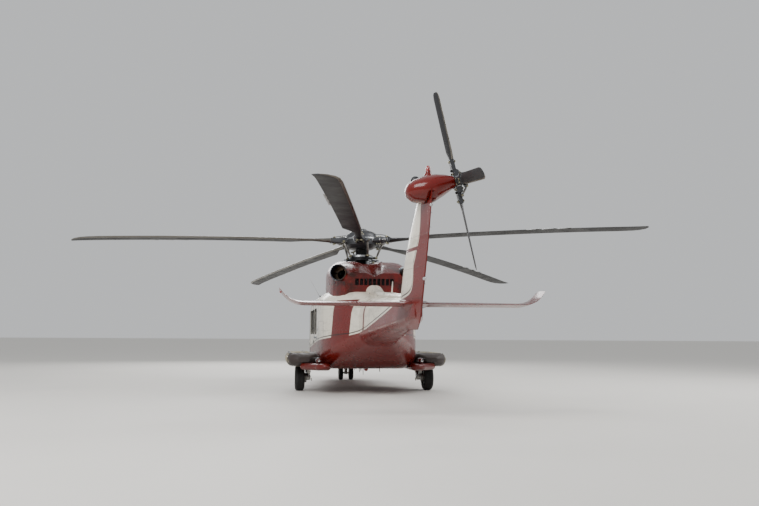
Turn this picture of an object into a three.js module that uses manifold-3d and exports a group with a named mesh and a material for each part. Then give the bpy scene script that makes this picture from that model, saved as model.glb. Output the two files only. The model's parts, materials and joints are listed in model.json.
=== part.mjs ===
// Twin-engine transport helicopter parked on its wheels, in millimetres.
// Nose towards -Y, port side towards +X, +Z up. Places are measured from the ground point under
// the rotor hub; the outer group then moves them so that the origin is under the middle of the box.
import * as THREE from 'three';
import { mergeVertices } from 'three/addons/utils/BufferGeometryUtils.js';
import Module from 'manifold-3d';

const wasm = await Module();
wasm.setup();

// Driving dimensions
const HUB_X = -430;
const HUB_Y = -1710;
const SEAT_GAP = 0.3;          // between pieces that touch
const SEAM = 4;                // around the fixed doors
const DOOR_SEAM = 6;           // around the doors that swing

const WALL = 80;               // cabin side and door thickness
const SKIN = 12;               // outer skin left around the glass
const GLASS = 10;
const REBATE = 40;             // how far the glass reaches behind its frame
const FLOOR_Z = 700;
const CEILING_Z = 2120;
const ROOF_Z = 2350;
const NOSE_JOINT_Y = -4050;
const COCKPIT_END_Y = -2250;
const CABIN_END_Y = 700;
const BOOM_START_Y = 3400;
const BOOM_END_Y = 6600;

const ROTOR_RADIUS = 6900;
const BLADE_COUNT = 5;
const BLADE_CHORD = 440;
const BLADE_ROOT_R = 760;
const BLADE_DROOP = [229, 229, 229, 320, 229];   // sag of each still blade at its tip
const HUB_Z = 3655;
const MAST_TILT = 4.5;         // degrees, forward
const ROTOR_PARK = 10.9;       // degrees from straight aft towards port

const TAIL_RADIUS = 1350;
const TAIL_BLADE_COUNT = 4;
const TAIL_CHORD = 178;
const TAIL_HUB = [-410, 8290, 3586];
const TAIL_CANT = 14.9;        // degrees
const TAIL_PARK = 6.7;         // degrees from straight up, towards the back
const TAIL_PITCH = 14.5;       // degrees, of the blades

const STABILISER_Y = 7060;
const STABILISER_Z = 1810;
const STABILISER_ROOT_X = 190;

const TRACK_HALF = 1535;
const MAIN_AXLE_Y = 800;
const MAIN_TYRE = { radius: 300, width: 220, rim: 150 };
const NOSE_AXLE_Y = -3530;
const NOSE_STEER_Y = -3580;
const NOSE_TYRE = { radius: 200, width: 125, rim: 100, offset: 150 };
const NOSE_AXLE_RADIUS = 25;
const MAIN_AXLE_RADIUS = 34;

const ORIGIN = [0, 0, 0];
const SIDES = [['port', 1], ['starboard', -1]];

const finish = (color, roughness, metalness = 0) =>
  new THREE.MeshStandardMaterial({ color, roughness, metalness });
const FINISHES = {
  pale: finish(0xd9d4c6, 0.3),
  red: finish(0x7e1f16, 0.3),
  dark: finish(0x3a1512, 0.35),
  rotor: finish(0x2e2a2a, 0.5),
  metal: finish(0x8d8d8d, 0.4, 0.8),
  hot: finish(0x5b4a42, 0.5, 0.7),
  glass: finish(0x27302f, 0.05),
  rubber: finish(0x1a1a1a, 0.9),
  seat: finish(0x4a4540, 0.8),
  panel: finish(0x202224, 0.6),
};

const rad = THREE.MathUtils.degToRad;

// A closed triangle list becomes a solid whose faces point out.
function solid(geometry, matrix = null) {
  const bare = geometry.clone();
  if (matrix) bare.applyMatrix4(matrix);
  bare.deleteAttribute('normal');
  bare.deleteAttribute('uv');
  const merged = mergeVertices(bare, 0.01);
  const points = merged.attributes.position.array;
  const kept = [];
  for (let i = 0; i < merged.index.count; i += 3) {
    const [a, b, c] = [merged.index.getX(i), merged.index.getX(i + 1), merged.index.getX(i + 2)];
    if (a !== b && b !== c && c !== a) kept.push([a, b, c]);
  }
  const corner = (k) => new THREE.Vector3().fromArray(points, 3 * k);
  const volume = kept.reduce((sum, [a, b, c]) => sum + corner(a).dot(corner(b).cross(corner(c))), 0);
  const faces = volume < 0 ? kept.map(([a, b, c]) => [a, c, b]) : kept;
  return new wasm.Manifold(new wasm.Mesh({
    numProp: 3,
    vertProperties: new Float32Array(points),
    triVerts: new Uint32Array(faces.flat()),
  }));
}

const join = (parts) => parts.reduce((sum, part) => sum.add(part));
const cut = (body, tools) => tools.reduce((left, tool) => left.subtract(tool), body);

// Sections are rings of [x, y, z] with equal counts; the two ends are closed by fans.
function loft(rings) {
  const count = rings[0].length;
  const points = rings.flat(2);
  const faces = [];
  for (let k = 0; k + 1 < rings.length; k++) {
    for (let i = 0; i < count; i++) {
      const [a, b] = [k * count + i, k * count + (i + 1) % count];
      faces.push(a, b, b + count, a, b + count, a + count);
    }
  }
  const last = (rings.length - 1) * count;
  for (let i = 1; i + 1 < count; i++) {
    faces.push(0, i + 1, i);
    faces.push(last, last + i, last + i + 1);
  }
  const geometry = new THREE.BufferGeometry();
  geometry.setAttribute('position', new THREE.Float32BufferAttribute(points, 3));
  geometry.setIndex(faces);
  return solid(geometry);
}

function box(low, high) {
  const size = low.map((value, k) => Math.abs(high[k] - value));
  const middle = low.map((value, k) => (high[k] + value) / 2);
  return solid(new THREE.BoxGeometry(...size).translate(...middle));
}

function rod(from, to, radius, endRadius = radius, sides = 12) {
  const start = new THREE.Vector3(...from);
  const end = new THREE.Vector3(...to);
  const length = start.distanceTo(end);
  const turn = new THREE.Quaternion().setFromUnitVectors(
    new THREE.Vector3(0, 1, 0), end.clone().sub(start).normalize());
  const matrix = new THREE.Matrix4().compose(
    start.clone().add(end).multiplyScalar(0.5), turn, new THREE.Vector3(1, 1, 1));
  return solid(new THREE.CylinderGeometry(endRadius, radius, length, sides), matrix);
}

// Profile rows are [radius, height along the axis] and start and end on the axis.
function turned(profile, from, direction, sides = 24) {
  const rows = profile.map(([radius, height]) => new THREE.Vector2(radius, height));
  const turn = new THREE.Quaternion().setFromUnitVectors(
    new THREE.Vector3(0, 1, 0), new THREE.Vector3(...direction).normalize());
  const matrix = new THREE.Matrix4().compose(
    new THREE.Vector3(...from), turn, new THREE.Vector3(1, 1, 1));
  return solid(new THREE.LatheGeometry(rows, sides), matrix);
}

// An outline of [y, z] points pushed along X, or of [x, y] points pushed along Z.
const alongX = (outline, x0, x1) =>
  loft([x0, x1].map((x) => outline.map(([y, z]) => [x, y, z])));
const alongZ = (outline, z0, z1) =>
  loft([z0, z1].map((z) => outline.map(([x, y]) => [x, y, z])));

// Moves each side of a convex outline outwards.
function grow(outline, distance) {
  const area = outline.reduce((sum, [x, y], i) => {
    const [nx, ny] = outline[(i + 1) % outline.length];
    return sum + x * ny - nx * y;
  }, 0);
  const side = Math.sign(area) * distance;
  const lines = outline.map(([x, y], i) => {
    const [nx, ny] = outline[(i + 1) % outline.length];
    const length = Math.hypot(nx - x, ny - y);
    const normal = [(ny - y) / length, -(nx - x) / length];
    return [...normal, normal[0] * x + normal[1] * y + side];
  });
  return lines.map(([a, b, c], i) => {
    const [p, q, r] = lines[(i + lines.length - 1) % lines.length];
    const det = a * q - p * b;
    return [(c * q - r * b) / det, (a * r - p * c) / det];
  });
}

function roundedRect([u0, v0], [u1, v1], radius, steps = 3) {
  const corners = [
    [u1 - radius, v0 + radius, -90], [u1 - radius, v1 - radius, 0],
    [u0 + radius, v1 - radius, 90], [u0 + radius, v0 + radius, 180],
  ];
  return corners.flatMap(([u, v, start]) => Array.from({ length: steps + 1 }, (_, i) => {
    const angle = rad(start + 90 * i / steps);
    return [u + radius * Math.cos(angle), v + radius * Math.sin(angle)];
  }));
}

// Adds rows between the given stations on monotone curves; flat stretches stay flat and need no rows.
function smoothRows(rows, steps = 2) {
  const secant = (k, c) => (rows[k + 1][c] - rows[k][c]) / (rows[k + 1][0] - rows[k][0]);
  const slope = (k, c) => {
    if (k === 0) return secant(0, c);
    if (k === rows.length - 1) return secant(k - 1, c);
    const [before, after] = [secant(k - 1, c), secant(k, c)];
    return before * after <= 0 ? 0 : 2 * before * after / (before + after);
  };
  const between = (k, t) => rows[k].map((start, c) => {
    if (c === 0) return start + t * (rows[k + 1][0] - start);
    const span = rows[k + 1][0] - rows[k][0];
    return (2 * t ** 3 - 3 * t ** 2 + 1) * start + (3 * t ** 2 - 2 * t ** 3) * rows[k + 1][c]
      + span * ((t ** 3 - 2 * t ** 2 + t) * slope(k, c) + (t ** 3 - t ** 2) * slope(k + 1, c));
  });
  return rows.flatMap((row, k) => {
    if (k === rows.length - 1) return [row];
    const flat = row.every((value, c) => c === 0 || value === rows[k + 1][c]);
    return Array.from({ length: flat ? 1 : steps }, (_, i) => between(k, i / steps));
  });
}

// Outline in X and Z with its own top and bottom corner radii.
function bodyOutline(half, low, high, topRadius, lowRadius, steps = 5) {
  const corners = [
    [half - lowRadius, low + lowRadius, lowRadius, -90],
    [half - topRadius, high - topRadius, topRadius, 0],
    [topRadius - half, high - topRadius, topRadius, 90],
    [lowRadius - half, low + lowRadius, lowRadius, 180],
  ];
  return corners.flatMap(([x, z, radius, start]) => Array.from({ length: steps + 1 }, (_, i) => {
    const angle = rad(start + 90 * i / steps);
    return [x + radius * Math.cos(angle), z + radius * Math.sin(angle)];
  }));
}

// Fuselage and boom stations: y, half width, low z, high z, top corner radius, low corner radius
const BODY = smoothRows([
  [-5200, 75, 960, 1110, 70, 70],
  [-5110, 235, 850, 1215, 170, 170],
  [-4750, 520, 690, 1390, 280, 300],
  [-4300, 780, 590, 1520, 300, 340],
  [-4060, 870, 560, 1590, 300, 340],
  [-3500, 1030, 520, 2010, 330, 300],
  [-3000, 1100, 520, 2270, 360, 280],
  [-2400, 1130, 520, ROOF_Z, 380, 260],
  [900, 1130, 520, ROOF_Z, 380, 260],
  [1600, 1090, 550, 2340, 400, 320],
  [2200, 950, 690, 2290, 420, 340],
  [2800, 700, 900, 2200, 400, 320],
  [BOOM_START_Y, 440, 1090, 2080, 340, 280],
  [4600, 330, 1210, 2030, 260, 240],
  [5700, 245, 1330, 1980, 200, 190],
  [BOOM_END_Y, 190, 1420, 1935, 150, 150],
]);
const HULL = BODY.filter(([y]) => y <= BOOM_START_Y);
const BOOM = BODY.filter(([y]) => y >= BOOM_START_Y);

function hull(inset, rows = HULL) {
  const smallest = 25;
  return loft(rows.map(([y, half, low, high, topRadius, lowRadius]) =>
    bodyOutline(half - inset, low + inset, high - inset,
      Math.max(topRadius - inset, smallest), Math.max(lowRadius - inset, smallest))
      .map(([x, z]) => [x, y, z])));
}

const CABIN_ROWS = HULL.filter(([y]) => y >= -4300 && y <= 1600);
const outerHull = hull(0);
const clearHull = hull(-SEAT_GAP);
const innerHull = hull(WALL, CABIN_ROWS);
const skinHull = hull(SKIN, CABIN_ROWS);
const glassHull = hull(SKIN + SEAT_GAP, CABIN_ROWS).subtract(hull(SKIN + GLASS, CABIN_ROWS));
const wallShell = outerHull.subtract(innerHull);

const FAR = 9000;
const slabY = (y0, y1, z0 = -FAR, z1 = FAR) => box([-FAR, y0, z0], [FAR, y1, z1]);
const halfSpace = (s) => box([s > 0 ? 0 : -FAR, -FAR, -FAR], [s > 0 ? FAR : 0, FAR, FAR]);

// Windscreen outline seen from above, one half; the centre post stays between the halves.
const POST_HALF = 38;
const SCREEN_HALF = [[620, -4000], [790, -3850], [930, -3450], [880, -3080], [520, -2980]];
const SCREEN = [...SCREEN_HALF, ...SCREEN_HALF.map(([x, y]) => [-x, y]).reverse()];
const screenHole = alongZ(SCREEN, 1300, 2600)
  .subtract(box([-POST_HALF, -FAR, 0], [POST_HALF, FAR, 3000]));
const screenPocket = alongZ(grow(SCREEN, REBATE), 1300, 2600);

// Side openings, as outlines in Y and Z
const COCKPIT_DOOR = [[-3400, 780], [-2420, 780], [-2420, 2060], [-2960, 2060], [-3400, 1400]];
const COCKPIT_WINDOW = [[-3290, 1170], [-2520, 1170], [-2520, 1960], [-2900, 1960], [-3290, 1375]];
const CABIN_DOOR = { low: [-2130, 730], high: [-450, 2080] };
const CABIN_WINDOWS = [
  roundedRect([-2030, 1330], [-1350, 1950], 110),
  roundedRect([-1230, 1330], [-550, 1950], 110),
];
const CABIN_POCKET = roundedRect([-2060, 1300], [-520, 1980], 140);
const REAR_WINDOW = roundedRect([-320, 1330], [400, 1950], 110);
const REAR_POCKET = roundedRect([-350, 1300], [430, 1980], 140);

// A window is a hole in the skin, with the glass behind it in a wider pocket.
function glaze(body, s, holes, pocket) {
  const reach = [s * 600, s * 1400];
  const pocketSpace = alongX(pocket, ...reach).intersect(skinHull);
  return cut(body, [...holes.map((hole) => alongX(hole, ...reach)), pocketSpace]);
}
const pane = (s, pocket) =>
  alongX(grow(pocket, -SEAT_GAP), s * 600, s * 1400).intersect(glassHull);

const nodes = new Map();          // name: { part, material, place }
const add = (name, part, material, place = null) => nodes.set(name, { part, material, place });

function cabin() {
  add('nose_cone', outerHull.intersect(slabY(-FAR, NOSE_JOINT_Y - SEAT_GAP)), 'pale');
  add('cabin_floor', outerHull.intersect(slabY(NOSE_JOINT_Y, CABIN_END_Y, -FAR, FLOOR_Z)), 'pale');
  add('cabin_roof', outerHull.intersect(slabY(COCKPIT_END_Y, CABIN_END_Y, CEILING_Z)), 'pale');

  const doorHoles = SIDES.map(([, s]) => alongX(COCKPIT_DOOR, s * 600, s * 1400));
  const hinges = SIDES.map(([, s]) => hingeArms(s, false));
  const cockpit = wallShell.intersect(slabY(NOSE_JOINT_Y, COCKPIT_END_Y - SEAT_GAP, FLOOR_Z + SEAT_GAP));
  const glazed = cut(cockpit, [screenHole, screenPocket.intersect(skinHull), ...doorHoles]);
  add('cockpit_frame', join([glazed, ...hinges]), 'pale');
  const screen = alongZ(grow(SCREEN, REBATE - SEAT_GAP), 1300, 2600).intersect(glassHull);
  add('windscreen', screen, 'glass');

  for (const [side, s] of SIDES) {
    const wall = wallShell.intersect(halfSpace(s)).intersect(
      slabY(COCKPIT_END_Y, CABIN_END_Y, FLOOR_Z + SEAT_GAP, CEILING_Z - SEAT_GAP));
    const { low, high } = CABIN_DOOR;
    const doorway = box([s * 600, low[0], low[1]], [s * 1400, high[0], high[1]]);
    add(`side_frame_${side}`, glaze(wall.subtract(doorway), s, [REAR_WINDOW], REAR_POCKET), 'pale');
    add(`rear_window_${side}`, pane(s, REAR_POCKET), 'glass');

    const doorBlock = box(
      [s * 600, low[0] + SEAM, low[1] + SEAT_GAP], [s * 1400, high[0] - SEAM, high[1] - SEAM]);
    const door = wall.intersect(doorBlock);
    add(`cabin_door_${side}`, glaze(door, s, CABIN_WINDOWS, CABIN_POCKET), 'pale');
    add(`cabin_door_windows_${side}`, pane(s, CABIN_POCKET), 'glass');

    const leafBlock = alongX(grow(COCKPIT_DOOR, -DOOR_SEAM), s * 600, s * 1400);
    const leaf = glaze(wallShell.intersect(leafBlock), s, [COCKPIT_WINDOW], grow(COCKPIT_WINDOW, REBATE));
    add(`cockpit_door_${side}`, join([leaf, hingeArms(s, true)]), 'pale');
    add(`cockpit_door_window_${side}`, pane(s, grow(COCKPIT_WINDOW, REBATE)), 'glass');
  }
}

// Cockpit door hinges: the door's knuckles turn between the frame's, outside the skin.
const HINGE = { x: 1062, y: -3397, radius: 10, reach: 60, knuckle: 40, heights: [900, 1250] };
function hingeArms(s, onDoor) {
  const { x, y, radius, reach, knuckle, heights } = HINGE;
  const spans = onDoor
    ? [[SEAT_GAP, knuckle - SEAT_GAP]]
    : [[-knuckle, 0], [knuckle, 2 * knuckle]];
  const to = onDoor ? y + reach : y - reach;
  const parts = heights.flatMap((z) => spans.flatMap(([a, b]) => [
    rod([s * x, y, z + a], [s * x, y, z + b], radius),
    box([s * (x - 36), Math.min(y, to), z + a], [s * (x + 6), Math.max(y, to), z + b]),
  ]));
  return cut(join(parts), onDoor ? [] : [slabY(y + radius, FAR)]);
}

function rearBody() {
  const shell = outerHull.subtract(hull(30, HULL.filter(([y]) => y >= 900)));
  add('rear_fuselage', shell.intersect(slabY(CABIN_END_Y + SEAT_GAP, BOOM_START_Y - SEAT_GAP)), 'dark');
  add('tail_boom', boomLoft(0).subtract(boomLoft(25)).intersect(slabY(BOOM_START_Y, BOOM_END_Y)), 'red');
  const cover = loft(SHAFT_COVER.map(([y, half, high]) =>
    bodyOutline(half, high - 500, high, half * 0.8, 20).map(([x, z]) => [x, y, z])));
  add('drive_shaft_cover', cut(cover, [clearHull, boomLoft(-SEAT_GAP)]), 'pale');
}

function boomLoft(inset) {
  return loft(BOOM.map(([y, half, low, high, topRadius, lowRadius], i) => {
    const end = i === 0 ? -50 : i === BOOM.length - 1 ? 50 : 0;
    const radii = [topRadius - inset, lowRadius - inset];
    const outline = bodyOutline(half - inset, low + inset, high - inset, ...radii);
    return outline.map(([x, z]) => [x, y + (inset > 0 ? end : 0), z]);
  }));
}

// Cover of the tail drive shaft: y, half width, high z
const SHAFT_COVER = smoothRows([
  [2500 + SEAT_GAP, 190, 2400],
  [3000, 160, 2285],
  [3600, 135, 2195],
  [4600, 120, 2120],
  [5700, 110, 2060],
  [BOOM_END_Y, 95, 2005],
]);

// Fin stations: z, leading edge y, trailing edge y, half thickness
const FIN = smoothRows([
  [1400, 6760, 7440, 60],
  [1560, 6640, 7640, 130],
  [1900, 6605, 7830, 165],
  [2080, 6655, 7920, 162],
  [2630, 6980, 8200, 140],
  [3200, 7520, 8440, 90],
  [3330, 7680, 8480, 85],
  [3430, 7900, 8500, 70],
]);
function finRing([z, front, back, half]) {
  const chord = back - front;
  const shape = [
    [0, 0], [0.015, 0.4], [0.05, 0.7], [0.12, 0.92], [0.26, 1], [0.5, 0.76], [0.75, 0.4], [1, 0.07],
  ];
  const starboard = shape.map(([along, out]) => [-half * out, front + chord * along, z]);
  const port = shape.slice(1).reverse().map(([along, out]) => [half * out, front + chord * along, z]);
  return [...starboard, ...port];
}

const tailAxis = new THREE.Vector3(-Math.cos(rad(TAIL_CANT)), 0, Math.sin(rad(TAIL_CANT)));
const alongTail = (distance) => tailAxis.clone().multiplyScalar(distance)
  .add(new THREE.Vector3(...TAIL_HUB)).toArray();

// Gearbox fairing sections from port to starboard: x, low z, high z, middle y, half length
const FAIRING_SIDES = 20;
const FAIRING = [
  [334, 3412, 3478, 8170, 60],
  [302, 3342, 3545, 8160, 170],
  [210, 3285, 3612, 8150, 280],
  [60, 3255, 3672, 8150, 350],
  [-100, 3285, 3702, 8170, 330],
  [-240, 3380, 3692, 8220, 240],
  [-340, 3460, 3665, 8270, 150],
  [-400, 3500, 3640, 8290, 90],
];
const TAIL_FACE = -45;         // along the tail axis, where the fairing ends
const FIN_TOP = {              // beacon and aerial dome on top of the fairing
  beacon: { at: [-50, 8000], foot: 64, neck: 44, lamp: 36 },
  dome: { at: [150, 8000], radius: 60 },
};

function tail() {
  const stub = loft([
    [BOOM_END_Y + SEAT_GAP, 190, 1420, 1935, 150],
    [7100, 150, 1480, 1900, 120],
    [7500, 60, 1580, 1840, 50],
  ].map(([y, half, low, high, radius]) =>
    bodyOutline(half, low, high, radius, radius).map(([x, z]) => [x, y, z])));
  const rootX = STABILISER_ROOT_X - SEAT_GAP;
  const root = loft([-rootX, rootX].map((x) => stabiliserRing(x, 0, 1.15, 1.5)));
  add('tail_fin', join([loft(FIN.map(finRing)), stub, root])
    .intersect(slabY(BOOM_END_Y + SEAT_GAP, FAR)), 'red');

  const fairing = loft(FAIRING.map(([x, low, high, middleY, reach]) =>
    Array.from({ length: FAIRING_SIDES }, (_, i) => {
      const angle = rad(360 * i / FAIRING_SIDES);
      return [x, middleY + reach * Math.cos(angle),
        (low + high) / 2 + (high - low) / 2 * Math.sin(angle)];
    })));
  const outputFace = rod(alongTail(TAIL_FACE), alongTail(400), 500);
  const clearFin = loft(FIN.map(([z, front, back, half]) =>
    finRing([z, front - SEAT_GAP, back + SEAT_GAP, half + SEAT_GAP])));
  const { beacon, dome } = FIN_TOP;
  const lamps = join([
    rod([...beacon.at, 3600], [...beacon.at, 3790], beacon.foot, beacon.neck),
    rod([...beacon.at, 3785], [...beacon.at, 3850], beacon.lamp, beacon.lamp * 0.8),
    rod([...dome.at, 3560], [...dome.at, 3640], dome.radius),
    rod([...dome.at, 3639], [...dome.at, 3672], dome.radius, dome.radius * 0.5),
  ]);
  add('tail_gearbox_fairing', cut(fairing.add(lamps), [clearFin, outputFace]), 'red');
}

// One airfoil ring of the stabiliser at x, its bend upwards and its relative chord and thickness
function stabiliserRing(x, rise, chordScale = 1, thickScale = 1) {
  const [chord, thick] = [620 * chordScale, 42 * thickScale];
  const shape = [
    [-0.5, 0], [-0.48, 0.36], [-0.42, 0.62], [-0.33, 0.86], [-0.2, 1], [0.1, 0.82], [0.3, 0.5], [0.5, 0.1],
  ];
  const top = shape.map(([along, up]) => [x, STABILISER_Y + along * chord, STABILISER_Z + rise + up * thick]);
  const bottom = shape.slice(1).reverse()
    .map(([along, up]) => [x, STABILISER_Y + along * chord, STABILISER_Z + rise - up * thick]);
  return [...top, ...bottom];
}

// Upturned tip: distance out, rise, shares of the root chord and thickness
const STABILISER_TIP = [
  [1780, 0, 0.91, 0.86],
  [1880, 14, 0.89, 0.8],
  [1980, 55, 0.86, 0.7],
  [2070, 128, 0.79, 0.6],
  [2144, 220, 0.68, 0.45],
];

function stabilisers() {
  for (const [side, s] of SIDES) {
    add(`stabiliser_${side}`, loft([
      stabiliserRing(s * STABILISER_ROOT_X, 0),
      ...STABILISER_TIP.map(([x, rise, chord, thick]) => stabiliserRing(s * x, rise, chord, thick)),
    ]), 'red');
  }
}

// Cowling stations: y, half width, top z, top corner radius, z of the valley between the engines
const COWL = smoothRows([
  [-2300, 330, 2420, 60, 2420],
  [-1800, 560, 2640, 180, 2640],
  [-1200, 720, 2870, 260, 2870],
  [-500, 830, 3010, 320, 3010],
  [200, 900, 3060, 340, 3060],
  [1200, 940, 3035, 350, 2960],
  [1850, 915, 2930, 330, 2745],
  [2250, 800, 2790, 270, 2640],
  [2500, 650, 2670, 180, 2590],
]);
const COWL_JOINT_Y = 470;
const COWL_FOOT = 2050;
const COWL_WALL = 30;
const RIDGE = 0.32;            // share of the half width where an engine's ridge starts
const WELL_RADIUS = 500;       // opening around the mast
const SHAFT_FOOT = -440;       // where the turning shaft starts, below the hub centre
const SERVOS = [[400, 60], [-400, 60], [-170, 330]];
const INTAKE = { y: [-420, 240], z: [2540, 2800], slats: 9 };
const OUTLET = { half: 430, z: [2400, 2545], bars: 9 };
const SLAT = 22;               // thickness of a slat
const EXHAUST = { from: [620, 1750, 2660], to: [800, 2420, 2680], radius: 180, bore: 162 };
const onShaft = (z) => [0, -z * Math.sin(rad(MAST_TILT)), HUB_Z + z * Math.cos(rad(MAST_TILT))];
function cowlLoft(inset) {
  const steps = 5;
  const smallest = 25;
  return loft(COWL.map(([y, fullHalf, fullTop, fullRadius, fullValley], i) => {
    const [half, top, valley] = [fullHalf - inset, fullTop - inset, fullValley - inset];
    const radius = Math.max(fullRadius - inset, smallest);
    const port = [];
    for (let k = 0; k <= steps; k++) {
      const angle = rad(90 * k / steps);
      port.push([half - radius + radius * Math.cos(angle), top - radius + radius * Math.sin(angle)]);
    }
    for (let k = steps; k > 0; k--) {
      const share = k / steps;
      port.push([share * half * RIDGE, valley + (top - valley) * (1 - Math.cos(Math.PI * share)) / 2]);
    }
    const starboard = port.map(([x, z]) => [-x, z]).reverse();
    const outline = [[half, COWL_FOOT], ...port, [0, valley], ...starboard, [-half, COWL_FOOT]];
    const end = i === 0 ? inset : i === COWL.length - 1 ? -inset : 0;
    return outline.map(([x, z]) => [x, y + end, z]);
  }));
}
const alongExhaust = (s, share) =>
  EXHAUST.from.map((value, k) => (value + share * (EXHAUST.to[k] - value)) * (k === 0 ? s : 1));

// An opening in a wall with upright slats left standing in it
function slatted(wall, low, high, count, along, thick) {
  const opening = box(low, high);
  const step = (high[along] - low[along]) / count;
  const slats = Array.from({ length: count - 1 }, (_, i) => {
    const middle = low[along] + step * (i + 1);
    const [from, to] = [[...low], [...high]];
    from[along] = middle - thick / 2;
    to[along] = middle + thick / 2;
    return box(from, to);
  });
  return wall.subtract(opening).add(wall.intersect(join(slats)));
}

function cowlings() {
  const shell = cowlLoft(0).subtract(cowlLoft(COWL_WALL)).subtract(clearHull);
  const well = rod([0, 0, 2700], [0, 0, 3300], WELL_RADIUS, WELL_RADIUS, 24);
  const intakes = SIDES.reduce((wall, [, s]) => slatted(wall,
    [s > 0 ? 600 : -1000, INTAKE.y[0], INTAKE.z[0]], [s > 0 ? 1000 : -600, INTAKE.y[1], INTAKE.z[1]],
    INTAKE.slats, 1, SLAT), shell.subtract(well));
  add('transmission_cowling', intakes.intersect(slabY(-FAR, COWL_JOINT_Y)), 'red');

  const rear = slatted(shell,
    [-OUTLET.half, 2400, OUTLET.z[0]], [OUTLET.half, 2600, OUTLET.z[1]], OUTLET.bars, 0, SLAT);
  for (const [side, s] of SIDES) {
    const half = box([s * SEAT_GAP / 2, COWL_JOINT_Y + SEAT_GAP, 0], [s * FAR, FAR, FAR]);
    const { radius, bore } = EXHAUST;
    const pipeHole = rod(alongExhaust(s, 0), alongExhaust(s, 1.3), radius + 0.4, radius + 0.4, 20);
    add(`engine_cowling_${side}`, rear.intersect(half).subtract(pipeHole), 'red');
    const pipe = rod(alongExhaust(s, 0), alongExhaust(s, 1), radius, radius, 20)
      .subtract(rod(alongExhaust(s, 0.08), alongExhaust(s, 1.3), bore, bore, 20));
    add(`exhaust_${side}`, pipe, 'hot');
  }
  const deck = ROOF_Z + SEAT_GAP;
  add('engines_and_gearbox', join([
    box([-330, -450, deck], [330, 420, 2860]),
    box([-560, 400, deck], [560, 1700, 2700]),
    rod([0, 0, 2800], [0, 0, 2985], WELL_RADIUS - 5, WELL_RADIUS - 5, 24),
    rod(onShaft(-900), onShaft(-540), 230, 140, 20),
    rod(onShaft(-545), onShaft(SHAFT_FOOT - SEAT_GAP - 60), 125, 125, 20),
    rod(onShaft(SHAFT_FOOT - 70), onShaft(SHAFT_FOOT - SEAT_GAP), 285, 285, 20),
    ...SERVOS.flatMap(([x, y]) => [
      rod([x * 0.98, y * 0.98, 2950], [x, y, 3120], 78, 70, 12),
      rod([x, y, 3100], [x, y, 3195], 42, 42, 10),
      rod([x, y, 3165], [x * 0.55, y * 0.55, 3190], 24, 24, 8),
    ]),
  ]), 'metal');
}

// Sponson stations: y, outer edge
const SPONSON = [[-500, 1120], [-100, 1400], [400, 1560], [1600, 1560], [2050, 1250]];
const SPONSON_LOW = 520;
const SPONSON_HIGH = 670;
function sponsonSlab(s, spare) {
  return loft(SPONSON.map(([y, outer], i) => {
    const end = i === 0 ? -spare : i === SPONSON.length - 1 ? spare : 0;
    const radius = (SPONSON_HIGH - SPONSON_LOW) / 2 - 1;
    return roundedRect([900, SPONSON_LOW - spare], [outer + spare, SPONSON_HIGH + spare], radius)
      .map(([x, z]) => [s * x, y + end, z]);
  }));
}

// Float pod stations: y, share of the full section
const POD = [[-260, 0.35], [-150, 0.8], [0, 1], [1350, 1], [1500, 0.8], [1600, 0.35]];
const POD_CENTRE = [1480, 745];
const POD_HALF = [380, 150];

function landingGear() {
  for (const [side, s] of SIDES) {
    const bay = box([s * 1390, MAIN_AXLE_Y - 360, 0], [s * 1690, MAIN_AXLE_Y + 360, 625]);
    add(`sponson_${side}`, cut(sponsonSlab(s, 0), [clearHull, bay]), 'dark');

    const pod = loft(POD.map(([y, share]) => {
      const [halfX, halfZ] = POD_HALF.map((value) => value * share);
      return roundedRect([-halfX, -halfZ], [halfX, halfZ], halfZ * 0.9)
        .map(([x, z]) => [s * (POD_CENTRE[0] + x), y, POD_CENTRE[1] + z]);
    }));
    add(`float_pod_${side}`, cut(pod, [clearHull, sponsonSlab(s, SEAT_GAP), bay]), 'dark');

    const { radius } = MAIN_TYRE;
    const legX = 1330;
    const axleEnd = TRACK_HALF + 20;
    add(`main_gear_leg_${side}`, join([
      rod([s * legX, 350, 640], [s * legX, MAIN_AXLE_Y, radius], 46),
      rod([s * legX, 1180, 640], [s * legX, MAIN_AXLE_Y + 20, radius + 20], 34),
      rod([s * (legX - 50), MAIN_AXLE_Y, radius], [s * axleEnd, MAIN_AXLE_Y, radius],
        MAIN_AXLE_RADIUS, MAIN_AXLE_RADIUS, AXLE_SIDES),
    ]).subtract(box([0, 0, SPONSON_LOW - SEAT_GAP], [s * FAR, 2000, 900])), 'metal');
    wheel('main', side, s * TRACK_HALF, MAIN_AXLE_Y, MAIN_TYRE, MAIN_AXLE_RADIUS);
  }

  const steer = [0, NOSE_STEER_Y];
  const { radius, offset } = NOSE_TYRE;
  add('nose_gear_leg', join([
    rod([...steer, 650], [...steer, 360], 50),
    rod([...steer, 400], [0, NOSE_STEER_Y - 460, 640], 26),
  ]).subtract(clearHull), 'metal');
  add('nose_steering_fork', join([
    rod([...steer, 359.7], [...steer, 290], 48),
    box([-42, NOSE_STEER_Y - 30, radius - 40], [42, NOSE_AXLE_Y + 40, 300]),
  ]).subtract(noseAxle(60, boreFor(NOSE_AXLE_RADIUS))), 'metal');
  const rims = [-1, 1].map((s) => rimSolid(s * offset, NOSE_AXLE_Y, NOSE_TYRE));
  add('nose_wheel_rims', join([
    ...rims,
    noseAxle(offset, NOSE_AXLE_RADIUS),
  ]), 'metal');
  for (const [side, s] of SIDES) {
    add(`nose_tyre_${side}`, tyreSolid(s * offset, NOSE_AXLE_Y, NOSE_TYRE), 'rubber');
  }
}

const noseAxle = (reach, size) => rod(
  [-reach, NOSE_AXLE_Y, NOSE_TYRE.radius], [reach, NOSE_AXLE_Y, NOSE_TYRE.radius], size, size, AXLE_SIDES);

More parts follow.
